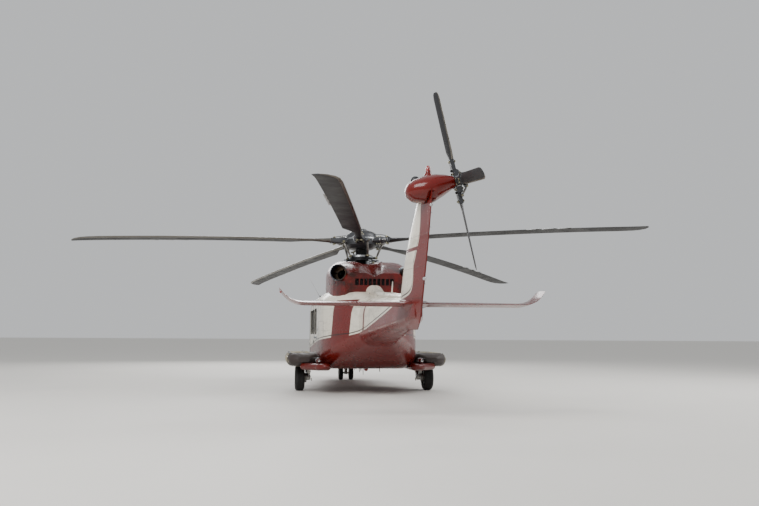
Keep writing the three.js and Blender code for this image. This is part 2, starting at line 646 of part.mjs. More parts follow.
const TYRE_SIDES = 32;
const AXLE_SIDES = 24;
const boreFor = (axleRadius) => (axleRadius + SEAT_GAP) / Math.cos(Math.PI / AXLE_SIDES);
function rimSolid(x, y, { radius, width, rim }) {
  const edge = width * 0.36;
  return rod([x - edge, y, radius], [x + edge, y, radius], rim, rim, 24);
}
function tyreSolid(x, y, { radius, width, rim }) {
  const half = width / 2;
  const inner = (rim + SEAT_GAP) / Math.cos(Math.PI / TYRE_SIDES);
  const profile = [
    [inner, -half * 0.72], [rim + 12, -half * 0.86], [radius * 0.8, -half], [radius * 0.94, -half * 0.82],
    [radius, -half * 0.45], [radius, half * 0.45], [radius * 0.94, half * 0.82], [radius * 0.8, half],
    [rim + 12, half * 0.86], [inner, half * 0.72], [inner, -half * 0.72],
  ];
  return turned(profile, [x, y, radius], [1, 0, 0], TYRE_SIDES);
}
function wheel(name, side, x, y, tyre, axleRadius) {
  const bore = boreFor(axleRadius);
  const hole = rod([x - 200, y, tyre.radius], [x + 200, y, tyre.radius], bore, bore, AXLE_SIDES);
  const cap = x > 0 ? 1 : -1;
  const rim = rimSolid(x, y, tyre).subtract(hole);
  const cover = rod([x + cap * 20.5, y, tyre.radius], [x + cap * 82, y, tyre.radius], 60);
  add(`${name}_rim_${side}`, rim.add(cover), 'metal');
  add(`${name}_tyre_${side}`, tyreSolid(x, y, tyre), 'rubber');
}

function interior() {
  add('instrument_panel', join([
    box([-780, -3900, FLOOR_Z + SEAT_GAP], [780, -3760, 1380]),
    loft([[-3760, 1380], [-3560, 1330]].map(([y, top]) =>
      [[-780, y, 1080], [780, y, 1080], [780, y, top], [-780, y, top]])),
    box([-150, -3760, FLOOR_Z + SEAT_GAP], [150, -2750, 1050]),
  ]).intersect(innerHull), 'panel');
  const seat = (x, y, width) => join([
    box([x - width / 2, y, 1080], [x + width / 2, y + 480, 1190]),
    loft([[1080, 0], [1850, 130]].map(([z, lean]) => [
      [x - width / 2, y + 440 + lean, z], [x + width / 2, y + 440 + lean, z],
      [x + width / 2, y + 550 + lean, z], [x - width / 2, y + 550 + lean, z]])),
    box([x - width / 2 + 60, y + 60, FLOOR_Z + SEAT_GAP], [x + width / 2 - 60, y + 440, 1090]),
  ]);
  for (const [side, s] of SIDES) add(`pilot_seat_${side}`, seat(s * 460, -3180, 480), 'seat');
  const benchAt = [-1850, -1000, -150];
  add('cabin_seats', join(benchAt.map((y) => join([
    box([-880, y, 1050], [880, y + 440, 1150]),
    box([-880, y + 400, 1050], [880, y + 500, 1750]),
    box([-780, y + 60, FLOOR_Z + SEAT_GAP], [-700, y + 400, 1060]),
    box([700, y + 60, FLOOR_Z + SEAT_GAP], [780, y + 400, 1060]),
  ])).concat([-1, 1].map((s) =>
    box([s * 700, -1850, FLOOR_Z + SEAT_GAP], [s * 780, 300, FLOOR_Z + 30])))), 'seat');
}

// Grip that carries each blade: radius from the shaft, half width, half height, corner radius
const GRIP = [
  [150, 80, 55, 20],
  [380, 95, 70, 34],
  [470, 122, 88, 45],
  [570, 122, 88, 45],
  [640, 96, 68, 34],
  [BLADE_ROOT_R, 90, 64, 30],
];
const DAMPER = { x: 118, from: 330, to: 600, radius: 46 };

// Main rotor in its own frame: hub centre at the origin, shaft along +Z
function mainRotor() {
  const arms = [];
  for (let k = 0; k < BLADE_COUNT; k++) {
    const turn = new THREE.Matrix4().makeRotationZ(-rad(360 / BLADE_COUNT) * k);
    const grip = loft(GRIP.map(([r, half, high, radius]) =>
      roundedRect([-half, -high], [half, high], radius, 2).map(([x, z]) => [x, r, z])));
    const damper = rod([DAMPER.x, DAMPER.from, 0], [DAMPER.x, DAMPER.to, 0], DAMPER.radius);
    arms.push(...[grip, damper].map((part) => part.transform(turn.elements)));
    arms.push(solid(new THREE.BoxGeometry(100, 120, 45).translate(-165, 500, -50), turn));
    const foot = new THREE.Vector3(-190, 330, SHAFT_FOOT + 35).applyMatrix4(turn);
    const head = new THREE.Vector3(-190, 500, -50).applyMatrix4(turn);
    arms.push(rod(foot.toArray(), head.toArray(), 20, 20, 8));
    arms.push(rod([0, 0, SHAFT_FOOT + 35], foot.toArray(), 34, 34, 8));
  }
  const shaft = [[0, SHAFT_FOOT], [115, SHAFT_FOOT], [115, -200], [300, -180], [390, -110], [410, 40],
    [400, 140], [335, 225], [200, 280], [0, 300]];
  const plate = [[0, SHAFT_FOOT], [290, SHAFT_FOOT], [290, SHAFT_FOOT + 70], [0, SHAFT_FOOT + 70]];
  add('rotor_hub', join([
    turned(shaft, ORIGIN, [0, 0, 1]), turned(plate, ORIGIN, [0, 0, 1]), ...arms,
  ]), 'rotor', { group: 'rotor' });
  for (let k = 0; k < BLADE_COUNT; k++) {
    add(`main_blade_${k + 1}`, mainBlade(BLADE_DROOP[k]), 'rotor',
      { group: 'rotor', turn: 360 / BLADE_COUNT * k });
  }
}

// Blade stations: radius, chord, leading edge forward of the axis, thickness
const BLADE = [
  [BLADE_ROOT_R + SEAT_GAP, 170, 85, 120],
  [1000, 170, 85, 90],
  [1250, 190, 95, 60],
  [1750, BLADE_CHORD, 120, 54],
  [3600, BLADE_CHORD, 120, 52],
  [6250, BLADE_CHORD, 120, 48],
  [6550, 420, 98, 42],
  [6700, 375, 45, 36],
  [6830, 285, -62, 28],
  [ROTOR_RADIUS, 150, -205, 18],
];
const AIRFOIL = [[0, 0], [0.04, 0.55], [0.15, 0.92], [0.35, 1], [0.7, 0.55], [1, 0.06]];
function bladeRing([r, chord, lead, thick], droop, pitch = 0) {
  const [cos, sin] = [Math.cos(rad(pitch)), Math.sin(rad(pitch))];
  const point = ([along, up], side) => {
    const [x, z] = [-lead + chord * along, side * up * thick / 2];
    return [x * cos + z * sin, r, z * cos - x * sin - droop * (r / ROTOR_RADIUS) ** 2];
  };
  return [
    ...AIRFOIL.map((row) => point(row, 1)),
    ...AIRFOIL.slice(1).reverse().map((row) => point(row, -1)),
  ];
}
const mainBlade = (droop) => loft(BLADE.map((row) => bladeRing(row, droop)));

// Tail rotor in its own frame: hub centre at the origin, shaft along +Z
const TAIL_BLADE = [
  [335 + SEAT_GAP, 110, 55, 50],
  [450, TAIL_CHORD, 80, 32],
  [TAIL_RADIUS - 90, TAIL_CHORD, 80, 22],
  [TAIL_RADIUS - 25, 145, 60, 16],
  [TAIL_RADIUS, 80, 20, 8],
];
function tailRotor() {
  const arms = [];
  for (let k = 0; k < TAIL_BLADE_COUNT; k++) {
    const turn = new THREE.Matrix4().makeRotationZ(-rad(360 / TAIL_BLADE_COUNT) * k);
    arms.push(solid(new THREE.BoxGeometry(130, 110, 80).translate(0, 115, 15), turn));
    arms.push(solid(new THREE.BoxGeometry(90, 200, 60).translate(0, 235, 0), turn));
    arms.push(solid(new THREE.BoxGeometry(60, 50, 40).translate(70, 215, 20), turn));
    const foot = new THREE.Vector3(85, 215, 20).applyMatrix4(turn);
    const head = new THREE.Vector3(50, 95, 135).applyMatrix4(turn);
    arms.push(rod(foot.toArray(), head.toArray(), 12, 12, 8));
  }
  const shaft = [[0, TAIL_FACE + SEAT_GAP], [60, TAIL_FACE + SEAT_GAP], [60, -30], [100, -30], [100, 50],
    [55, 70], [55, 115], [115, 118], [115, 145], [40, 150], [0, 165]];
  add('tail_rotor_hub', join([turned(shaft, ORIGIN, [0, 0, 1]), ...arms]), 'rotor', { group: 'tail' });
  for (let k = 0; k < TAIL_BLADE_COUNT; k++) {
    add(`tail_blade_${k + 1}`, loft(TAIL_BLADE.map((row) => bladeRing(row, 0, TAIL_PITCH))), 'rotor',
      { group: 'tail', turn: 360 / TAIL_BLADE_COUNT * k });
  }
}

cabin();
rearBody();
tail();
stabilisers();
cowlings();
landingGear();
interior();
mainRotor();
tailRotor();

// Groups: the whole helicopter, and the two rotors on their tilted shafts
const group = new THREE.Group();
group.position.set(HUB_X, HUB_Y, 0);

const rotorGroup = new THREE.Group();
rotorGroup.position.set(0, 0, HUB_Z);
rotorGroup.rotation.set(rad(MAST_TILT), 0, -rad(ROTOR_PARK), 'XYZ');

const tailGroup = new THREE.Group();
tailGroup.position.set(...TAIL_HUB);
const upBlade = new THREE.Vector3(Math.sin(rad(TAIL_CANT)), 0, Math.cos(rad(TAIL_CANT)))
  .multiplyScalar(Math.cos(rad(TAIL_PARK))).add(new THREE.Vector3(0, Math.sin(rad(TAIL_PARK)), 0));
tailGroup.quaternion.setFromRotationMatrix(new THREE.Matrix4().makeBasis(
  upBlade.clone().cross(tailAxis), upBlade, tailAxis));
group.add(rotorGroup, tailGroup);
const homes = { rotor: rotorGroup, tail: tailGroup };

for (const [name, { part, material, place }] of nodes) {
  const { vertProperties, triVerts } = part.getMesh();
  const geometry = new THREE.BufferGeometry();
  geometry.setAttribute('position', new THREE.Float32BufferAttribute(vertProperties, 3));
  geometry.setIndex(Array.from(triVerts));
  geometry.computeVertexNormals();
  const mesh = new THREE.Mesh(geometry, FINISHES[material].clone());
  mesh.name = name;
  if (place?.turn) mesh.rotation.z = -rad(place.turn);
  (place ? homes[place.group] : group).add(mesh);
}

export default group;
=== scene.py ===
import json
import math
import bmesh
import bpy
from mathutils import Matrix, Vector
from mathutils.bvhtree import BVHTree

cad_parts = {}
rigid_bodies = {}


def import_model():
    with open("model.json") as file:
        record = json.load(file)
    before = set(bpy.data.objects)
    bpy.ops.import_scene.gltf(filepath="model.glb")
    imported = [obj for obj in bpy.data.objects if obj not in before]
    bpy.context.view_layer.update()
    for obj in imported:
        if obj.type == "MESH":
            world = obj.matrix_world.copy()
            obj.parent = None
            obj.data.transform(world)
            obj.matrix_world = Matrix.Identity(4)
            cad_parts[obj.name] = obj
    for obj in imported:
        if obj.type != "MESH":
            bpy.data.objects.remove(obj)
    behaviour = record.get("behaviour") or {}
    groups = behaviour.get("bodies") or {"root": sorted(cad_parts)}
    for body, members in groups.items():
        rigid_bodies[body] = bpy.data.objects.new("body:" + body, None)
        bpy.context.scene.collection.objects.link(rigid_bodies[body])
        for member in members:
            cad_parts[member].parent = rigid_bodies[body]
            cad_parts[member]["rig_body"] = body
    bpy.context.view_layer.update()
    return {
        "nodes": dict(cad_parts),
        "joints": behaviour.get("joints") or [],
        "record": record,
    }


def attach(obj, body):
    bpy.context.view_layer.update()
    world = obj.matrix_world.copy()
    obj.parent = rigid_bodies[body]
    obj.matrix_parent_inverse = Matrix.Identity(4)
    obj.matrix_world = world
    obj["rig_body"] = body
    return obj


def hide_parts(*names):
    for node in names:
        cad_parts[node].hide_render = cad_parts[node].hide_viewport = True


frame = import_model()
nodes = frame["nodes"]
slotOf = {row["node"]: row["material_slot"] for row in frame["record"]["subparts"]}
joints = {joint["name"]: joint for joint in frame["joints"]}
mast = Vector(joints["main_rotor_spin"]["pos_m"])  # hub centre; the fuselage is even about x = mast.x
mastAxis = Vector(joints["main_rotor_spin"]["axis"]).normalized()
tailHub = Vector(joints["tail_rotor_spin"]["pos_m"])
tailAxis = Vector(joints["tail_rotor_spin"]["axis"]).normalized()
portward, tailward, upward = Vector((1, 0, 0)), Vector((0, 1, 0)), Vector((0, 0, 1))
sides = (("port", 1), ("starboard", -1))
print("frame loaded:", len(nodes), "nodes")


# A point given from the ground under the hub: across to port, back towards the tail, up
def at(across, back, up):
    return Vector((mast.x + across, mast.y + back, up))


def jointAt(name):
    return Vector(joints[name]["pos_m"])


def linear(colour):  # sRGB hex to linear
    values = [int(colour[i:i + 2], 16) / 255 for i in (1, 3, 5)]
    return [v / 12.92 if v <= 0.04045 else ((v + 0.055) / 1.055) ** 2.4 for v in values] + [1.0]


# Adds a node; an input takes a value or the socket that feeds it, and a ramp takes stops
def addNode(tree, kind, settings=None, inputs=None, stops=None):
    node = tree.nodes.new(kind)
    for key, value in (settings or {}).items():
        setattr(node, key, value)
    for key, value in (inputs or {}).items():
        if isinstance(value, bpy.types.NodeSocket):
            tree.links.new(value, node.inputs[key])
        else:
            node.inputs[key].default_value = value
    for i, (place, colour) in enumerate(stops or []):
        ramp = node.color_ramp.elements
        element = ramp[i] if i < 2 else ramp.new(place)
        element.position = place
        element.color = linear(colour) if isinstance(colour, str) else (colour, colour, colour, 1)
    return node


# A new material with its shader and its Object coordinates
def newMaterial(name, colour, roughness, metallic=0.0, ior=1.5):
    material = bpy.data.materials.new(name)
    material.use_nodes = True
    tree = material.node_tree
    tree.nodes.clear()
    shader = addNode(tree, "ShaderNodeBsdfPrincipled", inputs={
        "Base Color": linear(colour), "Roughness": roughness, "Metallic": metallic, "IOR": ior})
    addNode(tree, "ShaderNodeOutputMaterial", inputs={"Surface": shader.outputs["BSDF"]})
    where = addNode(tree, "ShaderNodeTexCoord").outputs["Object"]
    return material, tree, shader, where


def maths(tree, operation, *values):
    return addNode(tree, "ShaderNodeMath", {"operation": operation}, dict(enumerate(values))).outputs[0]


def blendColour(tree, share, low, high):
    return addNode(tree, "ShaderNodeMix", {"data_type": "RGBA"},
                   {0: share, 6: low, 7: high}).outputs[2]


def remap(tree, value, low, high, toLow=0.0, toHigh=1.0):
    return addNode(tree, "ShaderNodeMapRange", None, {
        "Value": value, "From Min": low, "From Max": high, "To Min": toLow, "To Max": toHigh}).outputs[0]


def noise(tree, where, size, detail=4.0):  # size of the patches in metres
    return addNode(tree, "ShaderNodeTexNoise", None, {
        "Vector": where, "Scale": 1 / size, "Detail": detail, "Roughness": 0.6}).outputs["Fac"]


# Uneven tone, uneven gloss and a fine level change, so that no surface is one flat colour
def age(tree, shader, where, colour, patch, spread, gloss, grain, depth):
    patches = noise(tree, where, patch, 6.0)
    tone = remap(tree, patches, 0.3, 0.7, 1 - spread, 1 + spread)
    source = colour if isinstance(colour, bpy.types.NodeSocket) else linear(colour)[:3]
    toned = addNode(tree, "ShaderNodeVectorMath", {"operation": "SCALE"}, {0: source, "Scale": tone})
    tree.links.new(toned.outputs[0], shader.inputs["Base Color"])
    tree.links.new(remap(tree, patches, 0.35, 0.65, *gloss), shader.inputs["Roughness"])
    bump = addNode(tree, "ShaderNodeBump", None, {
        "Height": noise(tree, where, grain, 2.0), "Distance": depth, "Strength": 1.0})
    tree.links.new(bump.outputs[0], shader.inputs["Normal"])
    return bump


# Camera, where the photograph's was
view = {
    "place": (2.32, 19.238, 1.318), "yaw": -0.144, "pitch": 0.106, "roll": 0.006,
    "focalPixels": 768.19, "framePixels": 759, "sensor": 36.0, "reach": 400,
}


def addCamera():
    camera = bpy.data.cameras.new("photoCamera")
    camera.sensor_width = view["sensor"]
    camera.lens = view["focalPixels"] / view["framePixels"] * view["sensor"]
    camera.clip_end = view["reach"]
    rig = bpy.data.objects.new("photoCamera", camera)
    bpy.context.scene.collection.objects.link(rig)
    yaw, pitch = view["yaw"], view["pitch"]
    forward = Vector((math.sin(yaw) * math.cos(pitch), -math.cos(yaw) * math.cos(pitch), math.sin(pitch)))
    turn = forward.to_track_quat("-Z", "Y").to_matrix() @ Matrix.Rotation(view["roll"], 3, "Z")
    rig.matrix_world = Matrix.Translation(at(*view["place"])) @ turn.to_4x4()
    bpy.context.scene.camera = rig


addCamera()
print("camera placed")

# Paint scheme: pale above a long curved edge, dark red below it, two slanted dark red bands behind the cabin.
# Edge points are (back, up), bands (middle, half width, top), the fin's joint (up, half height)
scheme = {
    "pale": "#ddd6c6", "red": "#62110c", "line": "#2e0a07", "grime": "#2b241c", "soot": "#17120f",
    "coat": 0.18, "coatRoughness": 0.08, "specular": 0.32,
    "edge": ((-7.0, 1.05), (-5.2, 1.02), (-3.8, 0.92), (-2.0, 0.98), (0.0, 1.12), (1.5, 1.2), (3.0, 1.3),
             (4.0, 1.43), (5.2, 1.62), (6.3, 1.8), (6.85, 1.88), (7.26, 1.94), (7.42, 2.01), (7.5, 2.16),
             (7.56, 2.38), (7.7, 2.55), (7.86, 2.75), (7.94, 2.95), (8.02, 3.3), (9.0, 4.9)),
    "reach": (-7.0, 9.0), "ceiling": 5.0, "lineGap": 0.045, "lineHalf": 0.011,
    "bands": ((2.68, 0.36, 2.06), (3.78, 0.06, 2.02)), "bandSlant": 0.16, "bandWaist": 1.6,
    "finJoint": (2.64, 0.028), "finFront": 6.7,
    "panel": (0.86, 0.47), "stagger": 0.37, "seam": 0.0032, "seamDepth": 0.0012, "seamDirt": 0.55,
    "dust": (1.1, 0.45), "streaks": (6.0, 0.7, 6.0), "exhaust": (0.78, 2.45, 2.68), "sootReach": (1.1, 0.15),
}


def schemeColour(tree, back, up):  # pale and red areas, then the dark line along their edge
    low, high = scheme["reach"]
    stops = [((y - low) / (high - low), z / scheme["ceiling"]) for y, z in scheme["edge"]]
    edge = addNode(tree, "ShaderNodeValToRGB", None, {0: remap(tree, back, low, high)}, stops)
    below = maths(tree, "SUBTRACT", maths(tree, "MULTIPLY", edge.outputs[0], scheme["ceiling"]), up)
    share = maths(tree, "GREATER_THAN", below, 0.0)
    slanted = maths(tree, "SUBTRACT", back, maths(tree, "MULTIPLY", up, scheme["bandSlant"]))
    for middle, half, top in scheme["bands"]:
        banded = maths(tree, "COMPARE", slanted, middle - scheme["bandWaist"] * scheme["bandSlant"], half)
        banded = maths(tree, "MULTIPLY", banded, maths(tree, "LESS_THAN", up, top))
        share = maths(tree, "MAXIMUM", share, banded)
    joint = maths(tree, "COMPARE", up, *scheme["finJoint"])
    joint = maths(tree, "MULTIPLY", joint, maths(tree, "GREATER_THAN", back, scheme["finFront"]))
    share = maths(tree, "MAXIMUM", share, joint)
    painted = blendColour(tree, share, linear(scheme["pale"]), linear(scheme["red"]))
    line = maths(tree, "COMPARE", below, -scheme["lineGap"], scheme["lineHalf"])
    return blendColour(tree, line, painted, linear(scheme["line"]))


def weathered(tree, where, up, colour, soot):  # dust low down, streaks along the flow, soot by the exhausts
    dust = maths(tree, "MULTIPLY", remap(tree, up, *scheme["dust"]), noise(tree, where, 0.35, 8.0))
    streaks = addNode(tree, "ShaderNodeMapping", None, {0: where, 3: scheme["streaks"]})
    grime = maths(tree, "MULTIPLY", remap(tree, noise(tree, streaks.outputs[0], 0.9, 7.0), 0.52, 0.8), 0.35)
    dirt = maths(tree, "MAXIMUM", maths(tree, "MULTIPLY", dust, 0.5), grime)
    colour = blendColour(tree, dirt, colour, linear(scheme["grime"]))
    x, y, z = scheme["exhaust"]
    for s in (1, -1) if soot else ():
        far = addNode(tree, "ShaderNodeVectorMath", {"operation": "DISTANCE"}, {0: where, 1: at(s * x, y, z)})
        near = remap(tree, far.outputs["Value"], *scheme["sootReach"])
        black = maths(tree, "MULTIPLY", near, remap(tree, noise(tree, where, 0.25, 6.0), 0.35, 0.6))
        colour = blendColour(tree, black, colour, linear(scheme["soot"]))
    return colour


# Sprayed two-pack polyurethane over riveted sheet: a hard gloss with faint orange peel and fine panel seams
def schemePaint(name, fixed=None, seamPlane="side", soot=False):
    material, tree, shader, where = newMaterial(name, scheme["pale"], 0.28)
    for key, value in (("Coat Weight", "coat"), ("Coat Roughness", "coatRoughness"),
                       ("Specular IOR Level", "specular")):
        shader.inputs[key].default_value = scheme[value]
    local = addNode(tree, "ShaderNodeVectorMath", {"operation": "SUBTRACT"},
                    {0: where, 1: (mast.x, mast.y, 0)})
    across, back, up = addNode(tree, "ShaderNodeSeparateXYZ", None, {0: local.outputs[0]}).outputs
    u, v = {"side": (back, up), "top": (back, across)}[seamPlane]
    plane = addNode(tree, "ShaderNodeCombineXYZ", None, {0: u, 1: v})
    panels = addNode(tree, "ShaderNodeTexBrick", {"offset": scheme["stagger"]}, {
        "Vector": plane.outputs[0], "Scale": 1.0, "Mortar Size": scheme["seam"], "Mortar Smooth": 0.3,
        "Brick Width": scheme["panel"][0], "Row Height": scheme["panel"][1]}).outputs["Fac"]
    colour = linear(scheme[fixed]) if fixed else schemeColour(tree, back, up)
    dirt = maths(tree, "MULTIPLY", panels, scheme["seamDirt"])
    colour = blendColour(tree, dirt, colour, linear(scheme["grime"]))
    colour = weathered(tree, where, up, colour, soot)
    bump = age(tree, shader, where, colour, 0.7, 0.04, (0.2, 0.34), 0.006, 0.00012)
    groove = addNode(tree, "ShaderNodeBump", {"invert": True}, {
        "Height": panels, "Distance": scheme["seamDepth"], "Strength": 0.8, "Normal": bump.outputs[0]})
    tree.links.new(groove.outputs[0], shader.inputs["Normal"])
    return material


# A plain solid finish with its own tone, gloss and grain
def solidFinish(name, colour, gloss, metallic=0.0, patch=0.1, spread=0.1, grain=0.003, depth=0.0001):
    material, tree, shader, where = newMaterial(name, colour, sum(gloss) / 2, metallic)
    age(tree, shader, where, colour, patch, spread, gloss, grain, depth)
    return material


# Woven cloth: threads crossing at right angles, drawn far coarser than the real 0.6 mm so that they show
def wovenCloth(name, colour, dark, thread=0.004, gloss=(0.75, 0.92), sheen=0.3):
    material, tree, shader, where = newMaterial(name, colour, 0.85)
    shader.inputs["Sheen Weight"].default_value = sheen
    weave = [addNode(tree, "ShaderNodeTexWave", {"bands_direction": way},
                     {"Vector": where, "Scale": share / thread})
             for way, share in (("X", 0.32), ("DIAGONAL", 0.26))]
    crossed = maths(tree, "MULTIPLY", *(wave.outputs["Fac"] for wave in weave))
    mixed = blendColour(tree, crossed, linear(dark), linear(colour))
    bump = age(tree, shader, where, mixed, 0.15, 0.1, gloss, 0.01, 0.0004)
    threads = addNode(tree, "ShaderNodeBump", None, {
        "Height": crossed, "Distance": 0.0005, "Strength": 0.6, "Normal": bump.outputs[0]})
    tree.links.new(threads.outputs[0], shader.inputs["Normal"])
    return material


# Brushed, turned or plated metal: fine lines round or along the part in its gloss
def workedMetal(name, colour, gloss, stretch=(1, 1, 1), patch=0.05, spread=0.1):
    material, tree, shader, where = newMaterial(name, colour, sum(gloss) / 2, 1.0)
    lines = addNode(tree, "ShaderNodeMapping", None, {0: where, 3: stretch})
    age(tree, shader, lines.outputs[0], colour, patch, spread, gloss, 0.01, 0.00005)
    return material


# Cast acrylic sheet, smoke tinted: dark from outside, with the cabin faintly seen through it
def tintedAcrylic():
    material, tree, shader, where = newMaterial("smokeTintedCastAcrylic", "#56605f", 0.03, 0.0, 1.49)
    shader.inputs["Transmission Weight"].default_value = 0.92
    smudge = remap(tree, noise(tree, where, 0.25, 5.0), 0.45, 0.75, 0.02, 0.1)
    tree.links.new(smudge, shader.inputs["Roughness"])
    return material


# Heat-stained nickel alloy pipe: straw and blue bands towards the mouth, soot inside
def heatStainedPipe():
    material, tree, shader, where = newMaterial("heatStainedNickelAlloy", "#6f5a4b", 0.4, 1.0)
    back = addNode(tree, "ShaderNodeSeparateXYZ", None, {0: where}).outputs[1]
    wander = maths(tree, "ADD", back, maths(tree, "MULTIPLY", noise(tree, where, 0.2), 0.25))
    heat = remap(tree, wander, mast.y + 1.85, mast.y + 2.6)
    stain = addNode(tree, "ShaderNodeValToRGB", None, {0: heat}, [
        (0.0, "#8a7f74"), (0.3, "#9c7a4e"), (0.5, "#6f4f5c"), (0.7, "#41505f"), (1.0, "#3a302a")])
    age(tree, shader, where, stain.outputs[0], 0.1, 0.15, (0.3, 0.55), 0.004, 0.0002)
    return material


# Moulded polycarbonate lamp cover, clear through to a bright reflector
def lampCover(name, colour):
    material, tree, shader, where = newMaterial(name, colour, 0.06, 0.0, 1.58)
    shader.inputs["Transmission Weight"].default_value = 0.55
    shader.inputs["Coat Weight"].default_value = 0.5
    ribs = addNode(tree, "ShaderNodeTexWave", None, {"Vector": where, "Scale": 60.0})
    bump = addNode(tree, "ShaderNodeBump", None, {"Height": ribs.outputs["Fac"], "Distance": 0.0006})
    tree.links.new(bump.outputs[0], shader.inputs["Normal"])
    return material


hullPaint = schemePaint("polyurethaneSchemePaint")
boomPaint = schemePaint("polyurethaneSchemePaintRear", soot=True)
topPaint = schemePaint("palePolyurethanePaint", "pale", "top")
redPaint = schemePaint("redPolyurethanePaint", "red", soot=True)
bellyPaint = schemePaint("redPolyurethaneBellyPaint", "red", "top")
# Satin, chalked blade coating, and its sand-scoured metal leading edge, whose colour is darkened as painted
# shade
bladePaint = solidFinish("mattBladeCoating", "#19191c", (0.48, 0.66), 0.0, 0.35, 0.12, 0.006, 0.0002)
abrasionPaintedShade = workedMetal("scouredNickelStripPaintedShade", "#75716b", (0.25, 0.48), (2, 2, 2), 0.15)
hubPaint = solidFinish("greyEpoxyEnamel", "#3c3d40", (0.3, 0.5), 0.2, 0.12, 0.12)  # thin over forged titanium
forged = workedMetal("shotPeenedTitanium", "#7c7975", (0.32, 0.5))  # dull, pebbled
steel = workedMetal("cadmiumPlatedSteel", "#8d8873", (0.28, 0.42), patch=0.04)  # faint yellow passivation
chrome = workedMetal("hardChromedSteel", "#c3c4c6", (0.05, 0.12), (1, 1, 12), spread=0.03)  # mirror bright
bare = workedMetal("machinedAluminium", "#a7a9ab", (0.22, 0.38), (1, 1, 20))  # turning lines
gearPaint = solidFinish("whiteEpoxyEnamel", "#b9b8b2", (0.25, 0.42), spread=0.07)  # sprayed cast magnesium
darkMetal = solidFinish("blackenedSteel", "#1c1c1d", (0.4, 0.6), 0.7, 0.08, 0.2)  # oily gearbox parts
rubber = solidFinish("vulcanisedRubber", "#191817", (0.7, 0.9), 0.0, 0.06, 0.18, 0.002, 0.0003)  # dusty black
seal = solidFinish("extrudedSealRubber", "#101010", (0.5, 0.7))  # black, half matt
podCloth = wovenCloth("rubberCoatedNylon", "#3a2b26", "#241a17", 0.006, (0.45, 0.65), 0.1)  # half gloss
webbing = wovenCloth("nylonWebbing", "#8f8b80", "#5d594f")  # grey, close woven
podWebbing = wovenCloth("palePolyesterWebbing", "#c9c0a8", "#8d8570", 0.005, (0.6, 0.8), 0.1)  # sun-bleached
seatCloth = wovenCloth("woolBlendUpholstery", "#3d4450", "#262a33", 0.005)  # matt, hairy
# worn sheen
seatHide = solidFinish("splitGrainLeather", "#24262a", (0.4, 0.6), 0.0, 0.05, 0.1, 0.004, 0.0004)
# fine moulded grain
plastic = solidFinish("mouldedAbs", "#1d1f22", (0.45, 0.6), 0.0, 0.1, 0.06, 0.002, 0.0002)
liner = solidFinish("quiltedCabinLiner", "#a8a396", (0.7, 0.9), 0.0, 0.12, 0.06, 0.01, 0.0006)  # soft, dull
floorCover = solidFinish("embossedVinylFloor", "#4a4b4c", (0.5, 0.7), 0.0, 0.3, 0.1, 0.012, 0.0008)  # pebbled
screen = solidFinish("darkDisplayGlass", "#07090b", (0.04, 0.1), 0.0, 0.2)  # near black, mirror smooth
redLens = lampCover("redPolycarbonate", "#b3120c")
greenLens = lampCover("greenPolycarbonate", "#0f8a44")
clearLens = lampCover("clearPolycarbonate", "#e8ecec")
glass = tintedAcrylic()
pipe = heatStainedPipe()
print("materials made")


# Mesh shapes are (points, faces); a piece joins shapes, each with its own material
def circle(count, start=0.0):  # angles round a full turn
    return [start + math.tau * i / count for i in range(count)]


def ring(centre, u, v, radius, count, start=0.0):
    return [centre + (u * math.cos(a) + v * math.sin(a)) * radius for a in circle(count, start)]


def loft(rings, loop=False):
    count, rows = len(rings[0]), len(rings)
    faces = []
    for k in range(rows if loop else rows - 1):
        a, b = k * count, (k + 1) % rows * count
        faces += [(a + i, a + (i + 1) % count, b + (i + 1) % count, b + i) for i in range(count)]
    if not loop:
        faces += [tuple(reversed(range(count))), tuple(range((rows - 1) * count, rows * count))]
    return [point for row in rings for point in row], faces


def crossAxes(axis):
    u = axis.orthogonal().normalized()
    return u, axis.normalized().cross(u)


def lathe(profile, centre, axis, count, loop=False):  # rows of (radius, height)
    u, v = crossAxes(axis)
    n = axis.normalized()
    return loft([ring(centre + n * height, u, v, max(radius, 0.0004), count) for radius, height in profile],
                loop)


def tube(path, radius, count):  # radius is one value or one for each point
    u = (path[1] - path[0]).orthogonal().normalized()
    rings = []
    for i, point in enumerate(path):
        n = (path[min(i + 1, len(path) - 1)] - path[max(i - 1, 0)]).normalized()
        u = (u - n * u.dot(n)).normalized()
        size = radius[i] if isinstance(radius, (list, tuple)) else radius
        rings.append(ring(point, u, n.cross(u), size, count))
    return loft(rings)


def hoop(path, outward, radius, count=8):  # closed bead; outward is one direction or one for each point
    rings = []
    for i, point in enumerate(path):
        n = outward[i] if isinstance(outward, list) else outward
        along = (path[(i + 1) % len(path)] - path[i - 1]).normalized()
        rings.append(ring(point, n, along.cross(n).normalized(), radius, count))
    return loft(rings, loop=True)


def band(path, outward, width, thick):  # flat webbing with the outward direction at each point
    rings = []
    for i, point in enumerate(path):
        along = path[min(i + 1, len(path) - 1)] - path[max(i - 1, 0)]
        n = outward[i].normalized()
        side = along.cross(n).normalized() * width / 2
        rings.append([point + side, point + side * 0.8 + n * thick, point - side * 0.8 + n * thick,
                      point - side])
    return loft(rings)


def curved(points, count=6):  # smooth path through a few points
    path = []
    for k in range(len(points) - 1):
        a, b = points[max(k - 1, 0)], points[k]
        c, d = points[k + 1], points[min(k + 2, len(points) - 1)]
        for t in (i / count for i in range(count)):
            path.append(0.5 * (2 * b + (c - a) * t + (2 * a - 5 * b + 4 * c - d) * t * t
                               + (3 * b - a - 3 * c + d) * t ** 3))
    return path + [points[-1]]


